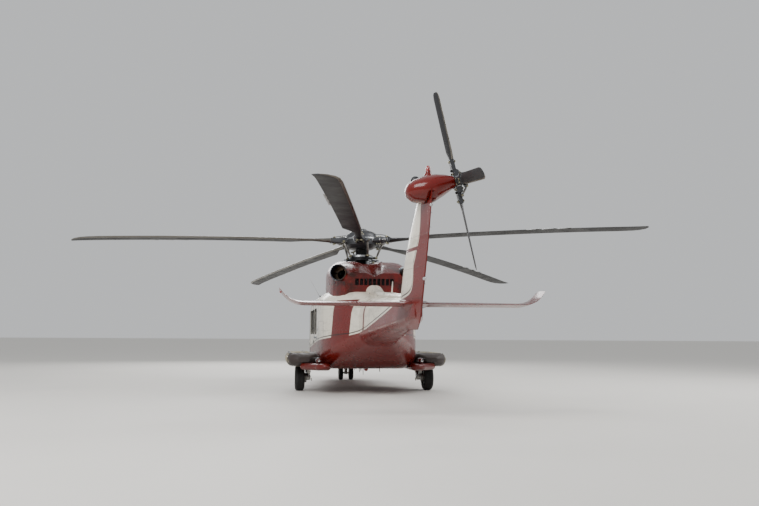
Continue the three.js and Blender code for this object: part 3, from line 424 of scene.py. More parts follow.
def block(centre, size, edge, turn=None):  # box with chamfered edges
    x, y, z = (value / 2 for value in size)
    e = min(edge, 0.45 * min(size))
    rings = []
    for inset, height in ((e, -z), (0, e - z), (0, z - e), (e, z)):
        a, b = x - inset, y - inset
        outline = ((a - e, -b), (a, e - b), (a, b - e), (a - e, b), (e - a, b), (-a, b - e), (-a, e - b),
                   (e - a, -b))
        rings.append([Vector((p, q, height)) for p, q in outline])
    return placed(loft(rings), Matrix.Translation(centre) @ (turn or Matrix.Identity(4)))


def bolt(place, axis, radius, reach, finish):  # shank with a six-sided head and a washer at each end
    end = [(radius, reach - 0.002), (radius * 2, reach - 0.002), (radius * 2, reach), (radius * 1.6, reach),
           (radius * 1.6, reach + radius * 0.7), (radius * 1.5, reach + radius * 0.9)]
    return lathe([(r, -height) for r, height in reversed(end)] + end, place, axis, 6), finish


def placed(shape, matrix):
    return [matrix @ point for point in shape[0]], shape[1]


def aim(axis):  # turns local Z to the axis
    return axis.to_track_quat("Z", "Y").to_matrix().to_4x4()


def steps(low, high, pitch):  # even places from low to high
    count = max(int(round((high - low) / pitch)), 1)
    return [low + (high - low) * i / count for i in range(count + 1)]


def keep(shape, body, replaced=()):
    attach(shape, body)
    if replaced:
        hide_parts(*replaced)
    return shape


def newObject(name, work, materials, crease):  # smooth over gentle bends, crisp at its edges
    mesh = bpy.data.meshes.new(name)
    work.to_mesh(mesh)
    work.free()
    mesh.shade_smooth()
    mesh.set_sharp_from_angle(angle=math.radians(crease))
    for material in materials:
        mesh.materials.append(material)
    shape = bpy.data.objects.new(name, mesh)
    bpy.context.scene.collection.objects.link(shape)
    return shape


def meshObject(name, parts, crease=35):
    work = bmesh.new()
    materials = []
    for (points, faces), finishes in parts:
        corners = [work.verts.new(point) for point in points]
        for i, side in enumerate(faces):
            finish = finishes[i] if isinstance(finishes, list) else finishes
            if finish not in materials:
                materials.append(finish)
            work.faces.new([corners[k] for k in side]).material_index = materials.index(finish)
    bmesh.ops.recalc_face_normals(work, faces=work.faces)
    return newObject(name, work, materials, crease)


def makePiece(name, parts, body, replaced=(), crease=35):
    return keep(meshObject(name, parts, crease), body, replaced)


def applyModifiers(shape):
    graph = bpy.context.evaluated_depsgraph_get()
    mesh = bpy.data.meshes.new_from_object(shape.evaluated_get(graph), preserve_all_data_layers=True,
                                           depsgraph=graph)
    shape.modifiers.clear()
    shape.data = mesh


# Copy of a CAD node with its points merged
def dress(name, *materials, crease=32, sort=None):
    work = bmesh.new()
    work.from_mesh(nodes[name].data)
    bmesh.ops.remove_doubles(work, verts=work.verts, dist=0.0001)
    bmesh.ops.dissolve_limit(work, angle_limit=math.radians(0.4), verts=work.verts, edges=work.edges)
    for face in work.faces:
        face.material_index = sort(face) if sort else 0
    shape = newObject(name + "_finish", work, materials, crease)
    shape.modifiers.new("weighted", "WEIGHTED_NORMAL").keep_sharp = True
    applyModifiers(shape)
    return keep(shape, nodes[name]["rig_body"], (name,))


inside = {"half": 1.05, "floor": 0.65, "ceiling": (1.4, 2.25), "bulkhead": 0.7}


def innerFace(face):  # 1: faces that look into the cabin, which get the liner; 2: the floor and its covering
    middle, n = face.calc_center_median() - at(0, 0, 0), face.normal
    low, high = inside["ceiling"]
    within = abs(middle.x) < inside["half"]
    if within and inside["floor"] < middle.z < low and n.z > 0.7:
        return 2
    overhead = within and low < middle.z < high and n.z < -0.5
    wall = middle.x * n.x < -0.0001 and abs(n.x) > 0.35
    return int(overhead or wall or abs(middle.y - inside["bulkhead"]) < 0.01 and n.y < -0.9)


crown = {"beacon": (-0.05, 8.0, 3.79, 0.045), "dome": (0.15, 8.0, 3.6, 0.0605)}  # place, then half width


def crownFace(face):  # 1: red lamp on the beacon's neck; 2: aerial dome beside it, dark as painted shade
    middle = face.calc_center_median()
    for index, (x, y, z, half) in enumerate(crown.values()):
        reach = middle - at(x, y, z)
        if max(abs(reach.x), abs(reach.y)) < half and reach.z > 0:
            return index + 1
    return 0


def dressAirframe():
    lined = ("cabin_floor", "cabin_roof", "rear_fuselage", "cockpit_frame", "side_frame_port",
             "side_frame_starboard", "cabin_door_port", "cabin_door_starboard", "cockpit_door_port",
             "cockpit_door_starboard")
    finishes = {
        "nose_cone": hullPaint, "tail_boom": boomPaint, "tail_fin": boomPaint, "drive_shaft_cover": topPaint,
        "stabiliser_port": redPaint, "stabiliser_starboard": redPaint, "transmission_cowling": redPaint,
        "engine_cowling_port": redPaint, "engine_cowling_starboard": redPaint, "sponson_port": bellyPaint,
        "sponson_starboard": bellyPaint, "engines_and_gearbox": darkMetal, "instrument_panel": plastic,
        "exhaust_port": pipe, "exhaust_starboard": pipe, "main_gear_leg_port": gearPaint,
        "main_gear_leg_starboard": gearPaint, "nose_gear_leg": gearPaint, "nose_steering_fork": gearPaint,
        "float_pod_port": podCloth, "float_pod_starboard": podCloth, "rotor_hub": hubPaint,
        "tail_rotor_hub": hubPaint}
    finishes.update({name: glass for name in nodes if slotOf[name] == "glazing"})
    for name, finish in finishes.items():
        dress(name, finish)
    for name in lined:
        dress(name, hullPaint, liner, floorCover, sort=innerFace)
    dress("tail_gearbox_fairing", redPaint, redLens, plastic, sort=crownFace)


dressAirframe()
print("airframe dressed")

# Rotor blades: spar, foam and glass cloth skins with a metal leading edge, drooping under their own weight.
# Stations are (radius, chord, lead of the front edge, thickness)
mainBlades = {
    "radius": 6.9, "park": 10.9, "count": 5, "pitch": 0,
    "droop": (0.229, 0.229, 0.229, 0.32, 0.229), "tabs": (4.4, 4.75, 5.1), "tab": (0.05, 0.3, 0.004),
    "stations": ((0.7603, 0.17, 0.085, 0.12), (1.0, 0.17, 0.085, 0.09), (1.25, 0.19, 0.095, 0.06),
                 (1.75, 0.44, 0.12, 0.054), (3.6, 0.44, 0.12, 0.052), (6.25, 0.44, 0.12, 0.048),
                 (6.55, 0.42, 0.098, 0.042), (6.7, 0.375, 0.045, 0.036), (6.83, 0.285, -0.062, 0.028),
                 (6.9, 0.15, -0.205, 0.018)),
}
tailBlades = {
    "radius": 1.35, "park": 6.7, "count": 4, "pitch": 14.5,
    "stations": ((0.3353, 0.11, 0.055, 0.05), (0.45, 0.178, 0.08, 0.032), (1.26, 0.178, 0.08, 0.022),
                 (1.325, 0.145, 0.06, 0.016), (1.35, 0.08, 0.02, 0.008)),
}
section = {
    "shares": (0.0, 0.008, 0.03, 0.07, 0.12, 0.2, 0.32, 0.45, 0.6, 0.75, 0.88, 1.0),
    "metal": 0.12, "edge": 0.02, "cuts": 6,  # shares of the chord, cuts between two stations
}


def thickness(share):  # smooth wing section, 1 at its thickest, blunt at the back
    return 2.97 * math.sqrt(share) - 1.26 * share - 3.52 * share ** 2 + 2.84 * share ** 3 - 0.96 * share ** 4


def bladeShape(blades, droop=0.0):
    stations, shares = blades["stations"], section["shares"]
    turn = Matrix.Rotation(math.radians(blades["pitch"]), 3, "Y")
    outline = [(share, 1) for share in shares] + [(share, -1) for share in reversed(shares[1:])]
    rings = []
    for first, second in zip(stations, stations[1:]):
        for k in range(section["cuts"] + (second is stations[-1])):
            r, chord, lead, thick = (a + (b - a) * k / section["cuts"] for a, b in zip(first, second))
            sag = Vector((0, r, -droop * (r / blades["radius"]) ** 2))
            rings.append([turn @ Vector((chord * share - lead, 0,
                                         way * (thickness(share) / 2 + section["edge"]) * thick))
                          + sag for share, way in outline])
    points, faces = loft(rings)
    front = {i for i, (share, _) in enumerate(outline) if share <= section["metal"]}
    finishes = [abrasionPaintedShade if len(face) == 4 and all(i % len(outline) in front for i in face) else bladePaint
                for face in faces]
    return (points, faces), finishes


def mainPlace(turn):  # frame of a main blade: Y along it, Z up the mast
    tilt = math.atan2(-mastAxis.y, mastAxis.z)
    return (Matrix.Translation(mast) @ Matrix.Rotation(tilt, 4, "X")
            @ Matrix.Rotation(-math.radians(mainBlades["park"] + turn), 4, "Z"))


def tailPlace(turn):  # frame of a tail blade: Y along it, Z out along the tail shaft
    lean, park = math.atan2(tailAxis.z, -tailAxis.x), math.radians(tailBlades["park"])
    up = Vector((math.sin(lean), 0, math.cos(lean))) * math.cos(park) + Vector((0, math.sin(park), 0))
    basis = Matrix((up.cross(tailAxis), up, tailAxis)).transposed().to_4x4()
    return Matrix.Translation(tailHub) @ basis @ Matrix.Rotation(-math.radians(turn), 4, "Z")


mainPlaces = [mainPlace(360 / mainBlades["count"] * k) for k in range(mainBlades["count"])]
tailPlaces = [tailPlace(360 / tailBlades["count"] * k) for k in range(tailBlades["count"])]


def addBlades():
    for k, (place, droop) in enumerate(zip(mainPlaces, mainBlades["droop"])):
        shape, finishes = bladeShape(mainBlades, droop)
        parts = [(placed(shape, place), finishes)]
        for r in mainBlades["tabs"]:  # trim tabs on the trailing edge
            tab = Vector((0.335, r, -droop * (r / mainBlades["radius"]) ** 2))
            parts.append((placed(block(tab, mainBlades["tab"], 0.001), place), bare))
        makePiece(f"mainBlade{k + 1}", parts, "main_rotor", (f"main_blade_{k + 1}",))
    for k, place in enumerate(tailPlaces):
        shape, finishes = bladeShape(tailBlades)
        makePiece(f"tailBlade{k + 1}", [(placed(shape, place), finishes)], "tail_rotor",
                  (f"tail_blade_{k + 1}",))


addBlades()
print("blades made")

# Wheels: radius, width and rim radius
wheels = {
    "main": (0.3, 0.22, 0.15), "nose": (0.2, 0.125, 0.1), "noseOffset": 0.15, "sides": 64,
    "grooves": 4, "grooveDepth": 0.007, "groove": ((-0.006, 0), (-0.004, 1), (0.004, 1), (0.006, 0)),
}


def tyreShape(centre, radius, width, rim):
    half = width / 2
    wall = [(rim + 0.0006, -0.72), (rim + 0.01, -0.86), (rim + 0.02, -0.88), ((rim + radius) * 0.49, -0.985)]
    wall += [(radius * share, side) for share, side in ((0.8, -1.0), (0.815, -0.985), (0.88, -0.96),
                                                        (0.94, -0.84), (0.975, -0.68), (0.995, -0.52))]
    profile = [(r, side * half) for r, side in wall]
    for k in range(wheels["grooves"]):  # straight grooves round the tread
        middle = half / 2 * (2 * (k + 0.5) / wheels["grooves"] - 1)
        profile += [(radius - drop * wheels["grooveDepth"], middle + offset)
                    for offset, drop in wheels["groove"]]
    profile += [(r, -side * half) for r, side in reversed(wall)]
    return lathe(profile, centre, portward, wheels["sides"], loop=True)


def rimShape(centre, radius, width, rim, outward):  # dished wheel with an open hub, closed round its axle
    edge = width * 0.36
    profile = [(0.03, -edge * 0.5), (rim * 0.6, -edge * 0.45), (rim * 0.8, -edge * 0.75), (rim * 0.9, -edge),
               (rim - 0.0005, -edge), (rim - 0.0005, edge), (rim * 0.92, edge), (rim * 0.86, edge * 0.8),
               (rim * 0.66, edge * 0.35), (rim * 0.42, edge * 0.3), (rim * 0.38, edge * 0.75),
               (0.03, edge * 0.8)]
    return lathe(profile, centre, portward * outward, 48)


def addWheels():
    cap = [(0.0, 0.086), (0.03, 0.084), (0.046, 0.074), (0.05, 0.055), (0.05, 0.03), (0.0, 0.03)]
    axle = jointAt("nose_wheels_roll")
    rims = [(lathe([(0.025, -0.19), (0.025, 0.19)], axle, portward, 20), steel)]
    for side, s in sides:
        hub = jointAt(f"main_wheel_{side}_roll")
        makePiece(f"mainTyre{side.title()}", [(tyreShape(hub, *wheels["main"]), rubber)],
                  f"main_wheel_{side}", (f"main_tyre_{side}",))
        makePiece(f"mainRim{side.title()}", [(rimShape(hub, *wheels["main"], s), gearPaint),
                                             (lathe(cap, hub, portward * s, 24), bare)],
                  f"main_wheel_{side}", (f"main_rim_{side}",))
        hub = axle + portward * s * wheels["noseOffset"]
        makePiece(f"noseTyre{side.title()}", [(tyreShape(hub, *wheels["nose"]), rubber)],
                  "nose_wheels", (f"nose_tyre_{side}",))
        rims.append((rimShape(hub, *wheels["nose"], s), gearPaint))
    makePiece("noseRims", rims, "nose_wheels", ("nose_wheel_rims",))


addWheels()
print("wheels made")

# Heads of screws, rivets, wires and stitches: one small turned form on each point, along its direction
def barTree():
    tree = bpy.data.node_groups.new("repeatedBars", "GeometryNodeTree")
    for label, way, kind in (("Geometry", "INPUT", "Geometry"), ("Foot Radius", "INPUT", "Float"),
                             ("Top Radius", "INPUT", "Float"), ("Height", "INPUT", "Float"),
                             ("Sides", "INPUT", "Int"), ("Finish", "INPUT", "Material"),
                             ("Geometry", "OUTPUT", "Geometry")):
        tree.interface.new_socket(label, in_out=way, socket_type="NodeSocket" + kind)
    entry = addNode(tree, "NodeGroupInput").outputs
    form = addNode(tree, "GeometryNodeMeshCone", None, {
        "Vertices": entry["Sides"], "Radius Bottom": entry["Foot Radius"], "Radius Top": entry["Top Radius"],
        "Depth": entry["Height"]})
    outward = addNode(tree, "GeometryNodeInputNamedAttribute", {"data_type": "FLOAT_VECTOR"},
                      {"Name": "outward"})
    turn = addNode(tree, "FunctionNodeAlignRotationToVector", {"axis": "Z"}, {"Vector": outward.outputs[0]})
    spread = addNode(tree, "GeometryNodeInstanceOnPoints", None, {
        "Points": entry["Geometry"], "Instance": form.outputs["Mesh"], "Rotation": turn.outputs[0]})
    real = addNode(tree, "GeometryNodeRealizeInstances", None, {"Geometry": spread.outputs[0]})
    done = addNode(tree, "GeometryNodeSetMaterial", None, {
        "Geometry": real.outputs[0], "Material": entry["Finish"]})
    addNode(tree, "NodeGroupOutput", None, {0: done.outputs[0]})
    return tree


bars = barTree()


def repeatBars(name, spots, body, slot, finish, foot, top, height, count=8):  # spots are (place, direction)
    mesh = bpy.data.meshes.new(name)
    mesh.from_pydata([place for place, _ in spots], [], [])
    outward = mesh.attributes.new("outward", "FLOAT_VECTOR", "POINT")
    outward.data.foreach_set("vector", [value for _, direction in spots for value in direction])
    shape = bpy.data.objects.new(name, mesh)
    bpy.context.scene.collection.objects.link(shape)
    modifier = shape.modifiers.new("bars", "NODES")
    modifier.node_group = bars
    values = {"Foot Radius": foot, "Top Radius": top, "Height": height, "Sides": count, "Finish": finish}
    for item in bars.interface.items_tree:
        if item.in_out == "INPUT" and item.name in values:
            modifier[item.identifier] = values[item.name]
    applyModifiers(shape)
    shape.data.name = name
    return keep(shape, body)


def skinOf(*names):
    points, faces = [], []
    for name in names:
        mesh = nodes[name].data
        start = len(points)
        points += [vertex.co.copy() for vertex in mesh.vertices]
        faces += [[i + start for i in polygon.vertices] for polygon in mesh.polygons]
    return BVHTree.FromPolygons(points, faces)


def press(skin, start, direction):  # first place where a skin is met, with its outward direction
    place, normal, _, _ = skin.ray_cast(start, direction)
    if place is None:
        return None
    return place, (normal if normal.dot(direction) < 0 else -normal)


def fromSide(skin, s, back, up, start=3):
    return press(skin, at(start * s, back, up), portward * -s)


def fromAbove(skin, across, back, top=5.0):
    return press(skin, at(across, back, top), -upward)


def fromBelow(skin, across, back):
    return press(skin, at(across, back, 0.05), upward)


def fromBehind(skin, across, back, up):
    return press(skin, at(across, back, up), -tailward)


def met(hits):  # leaves out the rays that missed
    return [hit for hit in hits if hit]


def lifted(hits, lift=0.0):  # points raised off the skin, and their outward directions
    return [place + n * lift for place, n in hits], [n for _, n in hits]


def plate(hit, lift, size, edge=0.003):  # small block on a skin
    return block(hit[0] + hit[1] * lift, size, edge)


def fitted(profile, hit, count=20, sink=0.003):  # turned fitting standing on a skin
    return lathe(profile, hit[0] - hit[1] * sink, hit[1], count)


hullSkin = skinOf("rear_fuselage", "tail_boom", "side_frame_port", "side_frame_starboard", "cabin_roof",
                  "cabin_floor", "cockpit_frame", "nose_cone")
cowlSkin = skinOf("transmission_cowling", "engine_cowling_port", "engine_cowling_starboard")
tailSkin = skinOf("tail_fin", "stabiliser_port", "stabiliser_starboard", "tail_gearbox_fairing")
coverSkin = skinOf("drive_shaft_cover")
screenSkin = skinOf("windscreen", "cockpit_frame", "nose_cone")

# Rivet rows on frames (back, low, high) and stringers (up, from, to), and quarter-turn fasteners on the cowls
rivets = {
    "pitch": 0.075, "size": (0.0055, 0.003, 0.0016),  # foot radius, top radius, height
    "frames": ((0.73, 0.75, 2.1), (1.2, 0.75, 2.1), (1.7, 0.8, 2.1), (2.25, 0.9, 2.05), (2.85, 1.0, 2.0),
               (3.36, 1.15, 1.95), (3.44, 1.15, 1.95), (4.0, 1.2, 1.9), (4.6, 1.3, 1.9), (5.2, 1.35, 1.88),
               (5.75, 1.4, 1.86), (6.25, 1.45, 1.84), (6.56, 1.48, 1.84)),
    "stringers": ((0.66, -3.9, 0.66), (1.26, 0.75, 6.5), (1.72, 0.75, 6.5), (2.16, -2.2, 0.7)),
    "screwPitch": 0.16, "screwSize": (0.011, 0.009, 0.002), "seams": (0.42, 0.53), "cowlEdge": 2.42,
}


def addRivets():
    pitch, screwPitch = rivets["pitch"], rivets["screwPitch"]
    spots, screws = [], []
    for _, s in sides:
        for back, low, high in rivets["frames"]:
            spots += [fromSide(hullSkin, s, back, up) for up in steps(low, high, pitch)]
        for up, start, end in rivets["stringers"]:
            spots += [fromSide(hullSkin, s, back, up) for back in steps(start, end, pitch)]
        screws += [fromSide(cowlSkin, s, back, up) for back in rivets["seams"]
                   for up in steps(2.4, 2.95, screwPitch)]
        screws += [fromSide(cowlSkin, s, back, rivets["cowlEdge"]) for back in steps(-1.3, 2.2, screwPitch)]
    screws += [fromAbove(cowlSkin, across, back, 4) for back in rivets["seams"]
               for across in steps(-0.6, 0.6, screwPitch)]
    spots = [spot for spot in met(spots) if abs(spot[1].z) < 0.95]
    repeatBars("skinRivets", spots, "airframe", "pale_paint", hullPaint, *rivets["size"])
    repeatBars("cowlScrews", met(screws), "airframe", "gear_metal", steel, *rivets["screwSize"], 12)


addRivets()
print("fasteners set")

# Main rotor head, in each blade's own frame: X back to the trailing edge, Y outwards, Z up
head = {
    "pin": 0.021, "pinReach": 0.083, "pins": ((-0.045, 0.7), (0.045, 0.7)),
    "clampBolts": (0.45, 0.5, 0.55), "clampHalf": 0.088, "damper": (0.118, 0.33, 0.6, 0.046),
    "bearing": (0.112, 0.385, 0.09, 0.012), "link": ((-0.19, 0.33, -0.405), (-0.19, 0.5, -0.05)),
    "wire": ((0.05, 0.33, 0.17), (0.06, 0.45, 0.15), (0.075, 0.58, 0.13), (0.05, 0.7, 0.1),
             (0.02, 0.8, 0.045)),
    "scissorTurns": (36, 216), "coverBolt": (0.011, 0.01, 0.012),
}


# pins, clamp bolts, lead-lag damper, bearing, pitch link, heater wire and cuff of one grip
def gripFittings():
    parts = [bolt(Vector((x, y, 0)), upward, head["pin"], head["pinReach"], steel) for x, y in head["pins"]]
    parts += [bolt(Vector((x, y, 0)), upward, 0.009, 0.092, steel)
              for y in head["clampBolts"] for x in (-head["clampHalf"], head["clampHalf"])]
    x, start, end, size = head["damper"]
    clamp = [(size * 1.12, -0.006), (size * 1.2, 0), (size * 1.2, 0.018), (size * 1.12, 0.024)]
    parts += [(lathe(clamp, Vector((x, y, 0)), tailward, 20), bare) for y in (start + 0.02, end - 0.05)]
    parts.append((lathe([(0.02, 0), (0.02, 0.07), (0.034, 0.075), (0.036, 0.1), (0.028, 0.112)],
                        Vector((x, end, 0)), tailward, 16), chrome))
    parts.append((block(Vector((x - 0.02, end + 0.095, 0)), (0.09, 0.05, 0.05), 0.008), hubPaint))
    wide, root, tall, step = head["bearing"]
    for i in range(6):  # laminated bearing between the hub and the grip
        layer = [Vector((math.cos(a) * wide, root + step * i, math.sin(a) * tall)) for a in circle(20)]
        parts.append((loft([layer, [point + tailward * 0.005 for point in layer]]), (bare, rubber)[i % 2]))
    foot, top = (Vector(p) for p in head["link"])
    parts.append((tube([foot.lerp(top, t) for t in (0.1, 0.16, 0.2, 0.8, 0.84, 0.9)],
                       [0.021, 0.021, 0.027, 0.027, 0.021, 0.021], 14), forged))
    eye = [(0.012, -0.03), (0.034, -0.028), (0.036, -0.012), (0.036, 0.012), (0.034, 0.028), (0.012, 0.03)]
    for place in (foot, top):
        parts += [(lathe(eye, place, portward, 16), steel), bolt(place, portward, 0.012, 0.04, steel)]
    parts.append((tube(curved([Vector(p) for p in head["wire"]]), 0.008, 8), seal))
    parts.append((block(Vector((0, 0.785, 0)), (0.19, 0.03, 0.118), 0.02), hubPaint))
    return parts


def scissors():  # links that turn the swashplate with the mast
    elbow = Vector((0, 0.33, -0.31))
    return [(tube([Vector((0, 0.13, -0.23)), elbow], 0.02, 10), forged),
            (tube([elbow, Vector((0, 0.27, -0.38))], 0.018, 10), forged),
            bolt(elbow, portward, 0.013, 0.04, steel),
            (block(Vector((0, 0.12, -0.23)), (0.08, 0.05, 0.05), 0.008), hubPaint)]


def addRotorHead():
    parts = [(placed(shape, place), finish) for place in mainPlaces for shape, finish in gripFittings()]
    folds = [(0.15 if i % 2 else 0.128, -0.36 + 0.016 * i) for i in range(10)]
    bellows = [(0.118, -0.366)] + folds + [(0.118, -0.2)]
    for profile, count, finish in (
            ([(0.14, 0.286), (0.15, 0.3), (0.13, 0.318), (0.06, 0.33), (0.0, 0.334)], 40, hubPaint),
            ([(0.395, 0.012), (0.418, 0.02), (0.422, 0.04), (0.418, 0.06), (0.395, 0.068)], 60, bare),
            (bellows, 32, rubber),
            ([(0.288, -0.432), (0.302, -0.424), (0.302, -0.388), (0.288, -0.38)], 48, bare)):
        parts.append((lathe(profile, mast, mastAxis, count), finish))
    parts += [(placed(shape, mainPlace(turn)), finish) for turn in head["scissorTurns"]
              for shape, finish in scissors()]
    makePiece("rotorHeadFittings", parts, "main_rotor")
    bolts = []
    for k in range(24):  # round the cover's edge, leaning outwards
        place = mainPlace(15 * k + 7)
        bolts.append((place @ Vector((0, 0.36, 0.2)), mastAxis + 0.35 * (place.to_3x3() @ tailward)))
    bolts += [(mainPlace(36 * k) @ Vector((0, 0.115, 0.317)), mastAxis) for k in range(10)]
    repeatBars("rotorHeadBolts", bolts, "main_rotor", "rotor_metal", steel, *head["coverBolt"], 6)


# Tail rotor head, in each blade's own frame: Y outwards, Z along the shaft
tailHead = {
    "pins": ((0.02, 0.3), (-0.02, 0.3)), "link": ((0.085, 0.215, 0.02), (0.05, 0.095, 0.135)),
    "ringBolt": (0.007, 0.006, 0.008),
}


def tailGripFittings():
    parts = [bolt(Vector((x, y, 0)), upward, 0.011, 0.042, steel) for x, y in tailHead["pins"]]
    parts += [bolt(Vector((x, 0.115, 0.015)), upward, 0.01, 0.05, steel) for x in (-0.04, 0.04)]
    boot = [(0.05, 0), (0.056, 0.004), (0.05, 0.009), (0.056, 0.014), (0.05, 0.019), (0.056, 0.024),
            (0.048, 0.03)]
    parts.append((lathe(boot, Vector((0, 0.15, 0)), tailward, 20), rubber))
    foot, top = (Vector(p) for p in tailHead["link"])
    eye = [(0.006, -0.016), (0.02, -0.014), (0.021, 0.014), (0.006, 0.016)]
    parts += [(lathe(eye, place, upward, 14), steel) for place in (foot, top)]
    parts.append((tube([foot.lerp(top, t) for t in (0.2, 0.26, 0.74, 0.8)], [0.013, 0.016, 0.016, 0.013], 12),
                  forged))
    return parts


def addTailHead():
    parts = [(placed(shape, place), finish) for place in tailPlaces for shape, finish in tailGripFittings()]
    folds = [(0.072 if i % 2 else 0.06, 0.075 + 0.006 * i) for i in range(7)]
    bellows = [(0.054, 0.072)] + folds + [(0.054, 0.116)]
    nut = [(0.05, 0.145), (0.052, 0.16), (0.04, 0.172), (0.022, 0.175), (0.022, 0.19), (0.0, 0.19)]
    collar = [(0.098, -0.022), (0.106, -0.018), (0.106, 0.036), (0.098, 0.04)]
    for profile, count, finish in ((nut, 6, steel), (bellows, 28, rubber), (collar, 36, bare)):
        parts.append((lathe(profile, tailHub, tailAxis, count), finish))
    makePiece("tailHeadFittings", parts, "tail_rotor")
    bolts = [(tailPlace(30 * k + 15) @ Vector((0, 0.082, 0.05)), tailAxis) for k in range(12)]
    repeatBars("tailHeadBolts", bolts, "tail_rotor", "rotor_metal", steel, *tailHead["ringBolt"], 6)


addRotorHead()
addTailHead()
print("rotor heads fitted")

# Seats: foam in sewn covers, swollen from slightly smaller blanks by a short cloth simulation.
# In a pad's own frame X is its width, Y its length from the seat's corner, Z the side that is sat on.
# A pad is (width, length, thickness, bolster), and its sewn channels are (axis, place)
seats = {
    "pressure": 4.0, "frames": 20, "cap": 0.014, "lean": math.atan2(0.13, 0.77), "dent": 0.007,
    "dentWidth": 0.011, "strap": (0.046, 0.0035), "stitch": 0.02, "thread": (0.0012, 0.0012, 0.012),
}
pilotSeats = {
    "voxel": 0.013, "fill": 0.7, "across": 0.46, "cushion": (0.41, 0.42, 0.072, 0.018),
    "back": (0.4, 0.53, 0.052, 0.022), "head": (0.25, 0.12, 0.045, 0.008),
    "cushionLines": ((0, -0.125), (0, 0.125), (1, 0.3)),
    "backLines": ((0, -0.12), (0, 0.12), (1, 0.17), (1, 0.36)),
    "legs": ((-3.1, -3.02, 0.014), (-2.72, -2.8, 0.014), (-2.72, -2.7, 0.018)),
    "arm": ((0.2, 0.02), (0.215, 0.1), (0.21, 0.2), (0.2, 0.3)),
}
cabinSeats = {
    "voxel": 0.019, "fill": 0.6, "rows": (-1.85, -1.0, -0.15), "places": (-0.66, -0.22, 0.22, 0.66),
    "cushion": (0.395, 0.4, 0.075, 0.01), "back": (0.39, 0.57, 0.058, 0.012),
    "cushionLines": ((0, -0.1), (0, 0.1)), "backLines": ((1, 0.15), (1, 0.3), (1, 0.45)),
    "belt": ((-0.19, 0.05), (-0.1, 0.13), (0.0, 0.16), (0.1, 0.13), (0.19, 0.05)),
    "rails": (-0.83, -0.49, -0.39, -0.05, 0.05, 0.39, 0.49, 0.83),
}


def padBlank(width, length, thick, bolster):
    rings = []
    for t in (0.0, 0.03, 0.12, 0.35, 0.65, 0.88, 0.97, 1.0):
        ease = min(1.0, 0.66 + 6 * min(t, 1 - t))
        outline = []
        for u, tall in ((-1, 0.4), (-0.95, 0.8), (-0.8, 1), (-0.45, 1), (0, 1), (0.45, 1), (0.8, 1),
                        (0.95, 0.8), (1, 0.4)):
            rise = bolster * max(0.0, min(1.0, (abs(u) - 0.5) / 0.3)) * (0.3 + 0.7 * ease)
            outline.append(Vector((u * width / 2 * (0.95 + 0.05 * ease), t * length,
                                   thick * tall * ease + rise)))
        outline += [Vector((p.x, p.y, thick * 0.12 * (1 - ease))) for p in reversed(outline)]
        rings.append(outline)
    return loft(rings)


def inflate(blank, voxel, lines):
    shape = meshObject("blank", [(blank, seatHide)])
    remesh = shape.modifiers.new("remesh", "REMESH")
    remesh.mode = "VOXEL"
    remesh.voxel_size = voxel
    applyModifiers(shape)
    home = [vertex.co.copy() for vertex in shape.data.vertices]
    cloth = shape.modifiers.new("cloth", "CLOTH")
    cloth.settings.use_pressure = True
    cloth.settings.uniform_pressure_force = seats["pressure"]
    cloth.settings.effector_weights.gravity = 0
    cloth.point_cache.frame_end = seats["frames"]
    for step in range(1, seats["frames"] + 1):
        bpy.context.scene.frame_set(step)
    applyModifiers(shape)
    bpy.context.scene.frame_set(1)
    for vertex, start in zip(shape.data.vertices, home):
        move = vertex.co - start
        vertex.co = start + move * min(1.0, seats["cap"] / max(move.length, 1e-9))
    smooth = shape.modifiers.new("smooth", "SUBSURF")
    smooth.levels = smooth.render_levels = 1
    applyModifiers(shape)
    points = [vertex.co.copy() for vertex in shape.data.vertices]
    normals = [vertex.normal.copy() for vertex in shape.data.vertices]
    for point, normal in zip(points, normals):
        for axis, place in lines:
            near = math.exp(-((point[axis] - place) / seats["dentWidth"]) ** 2)
            point -= normal * seats["dent"] * near * max(0.0, normal.z)
    faces = [tuple(polygon.vertices) for polygon in shape.data.polygons]
    bpy.data.objects.remove(shape)
    return points, faces


def onPad(skin, x, y):
    return press(skin, Vector((x, y, 0.5)), -upward)


def laid(skin, route, lift=0.0045):  # route of (x, y) pressed on to a pad: points and outward directions
    path = curved([Vector((x, y, 0)) for x, y in route], 4)
    return lifted(met(onPad(skin, point.x, point.y) for point in path), lift)


def stitches(skin, lines, width, length, place):  # on both sides of each sewn channel
    spots = []
    for axis, line in lines:
        reach = (length * 0.04, length * 0.96) if axis == 0 else (-width * 0.44, width * 0.44)
        for along in steps(*reach, seats["stitch"]):
            for offset in (-0.013, 0.013):
                hit = onPad(skin, *((line + offset, along) if axis == 0 else (along, line + offset)))
                if hit:
                    thread = tailward if axis == 0 else portward
                    spots.append((place @ hit[0], place.to_3x3() @ thread))
    return spots


def cushionPlace(across, back, up):  # on the seat pan, Y forwards
    return Matrix.Translation(at(across, back, up)) @ Matrix.Rotation(math.pi, 4, "Z")


def backPlace(across, back, up, lean=0.0):  # against the backrest, Y up along it
    basis = Matrix(((1, 0, 0), (0, math.sin(lean), -math.cos(lean)),
                    (0, math.cos(lean), math.sin(lean)))).to_4x4()
    return Matrix.Translation(at(across, back, up)) @ basis


# open channel: rows of (along, half width, wing height), Z to the sitter
def bucket(rows, wall, place, shift):
    rings = []
    for y, half, wing in rows:
        outer = [(-half, wing), (-half, 0.02), (-half * 0.9, 0.0), (half * 0.9, 0.0), (half, 0.02),
                 (half, wing)]
        inner = [(x * (1 - wall / half), max(z, 0.004) + (wall if z < wing else 0.0))
                 for x, z in reversed(outer)]
        rings.append([Vector((x, y, z)) for x, z in outer + inner])
    return placed(loft(rings), place @ Matrix.Translation(shift)), plastic


def strap(laidOut, place):
    return placed(band(*laidOut, *seats["strap"]), place), webbing


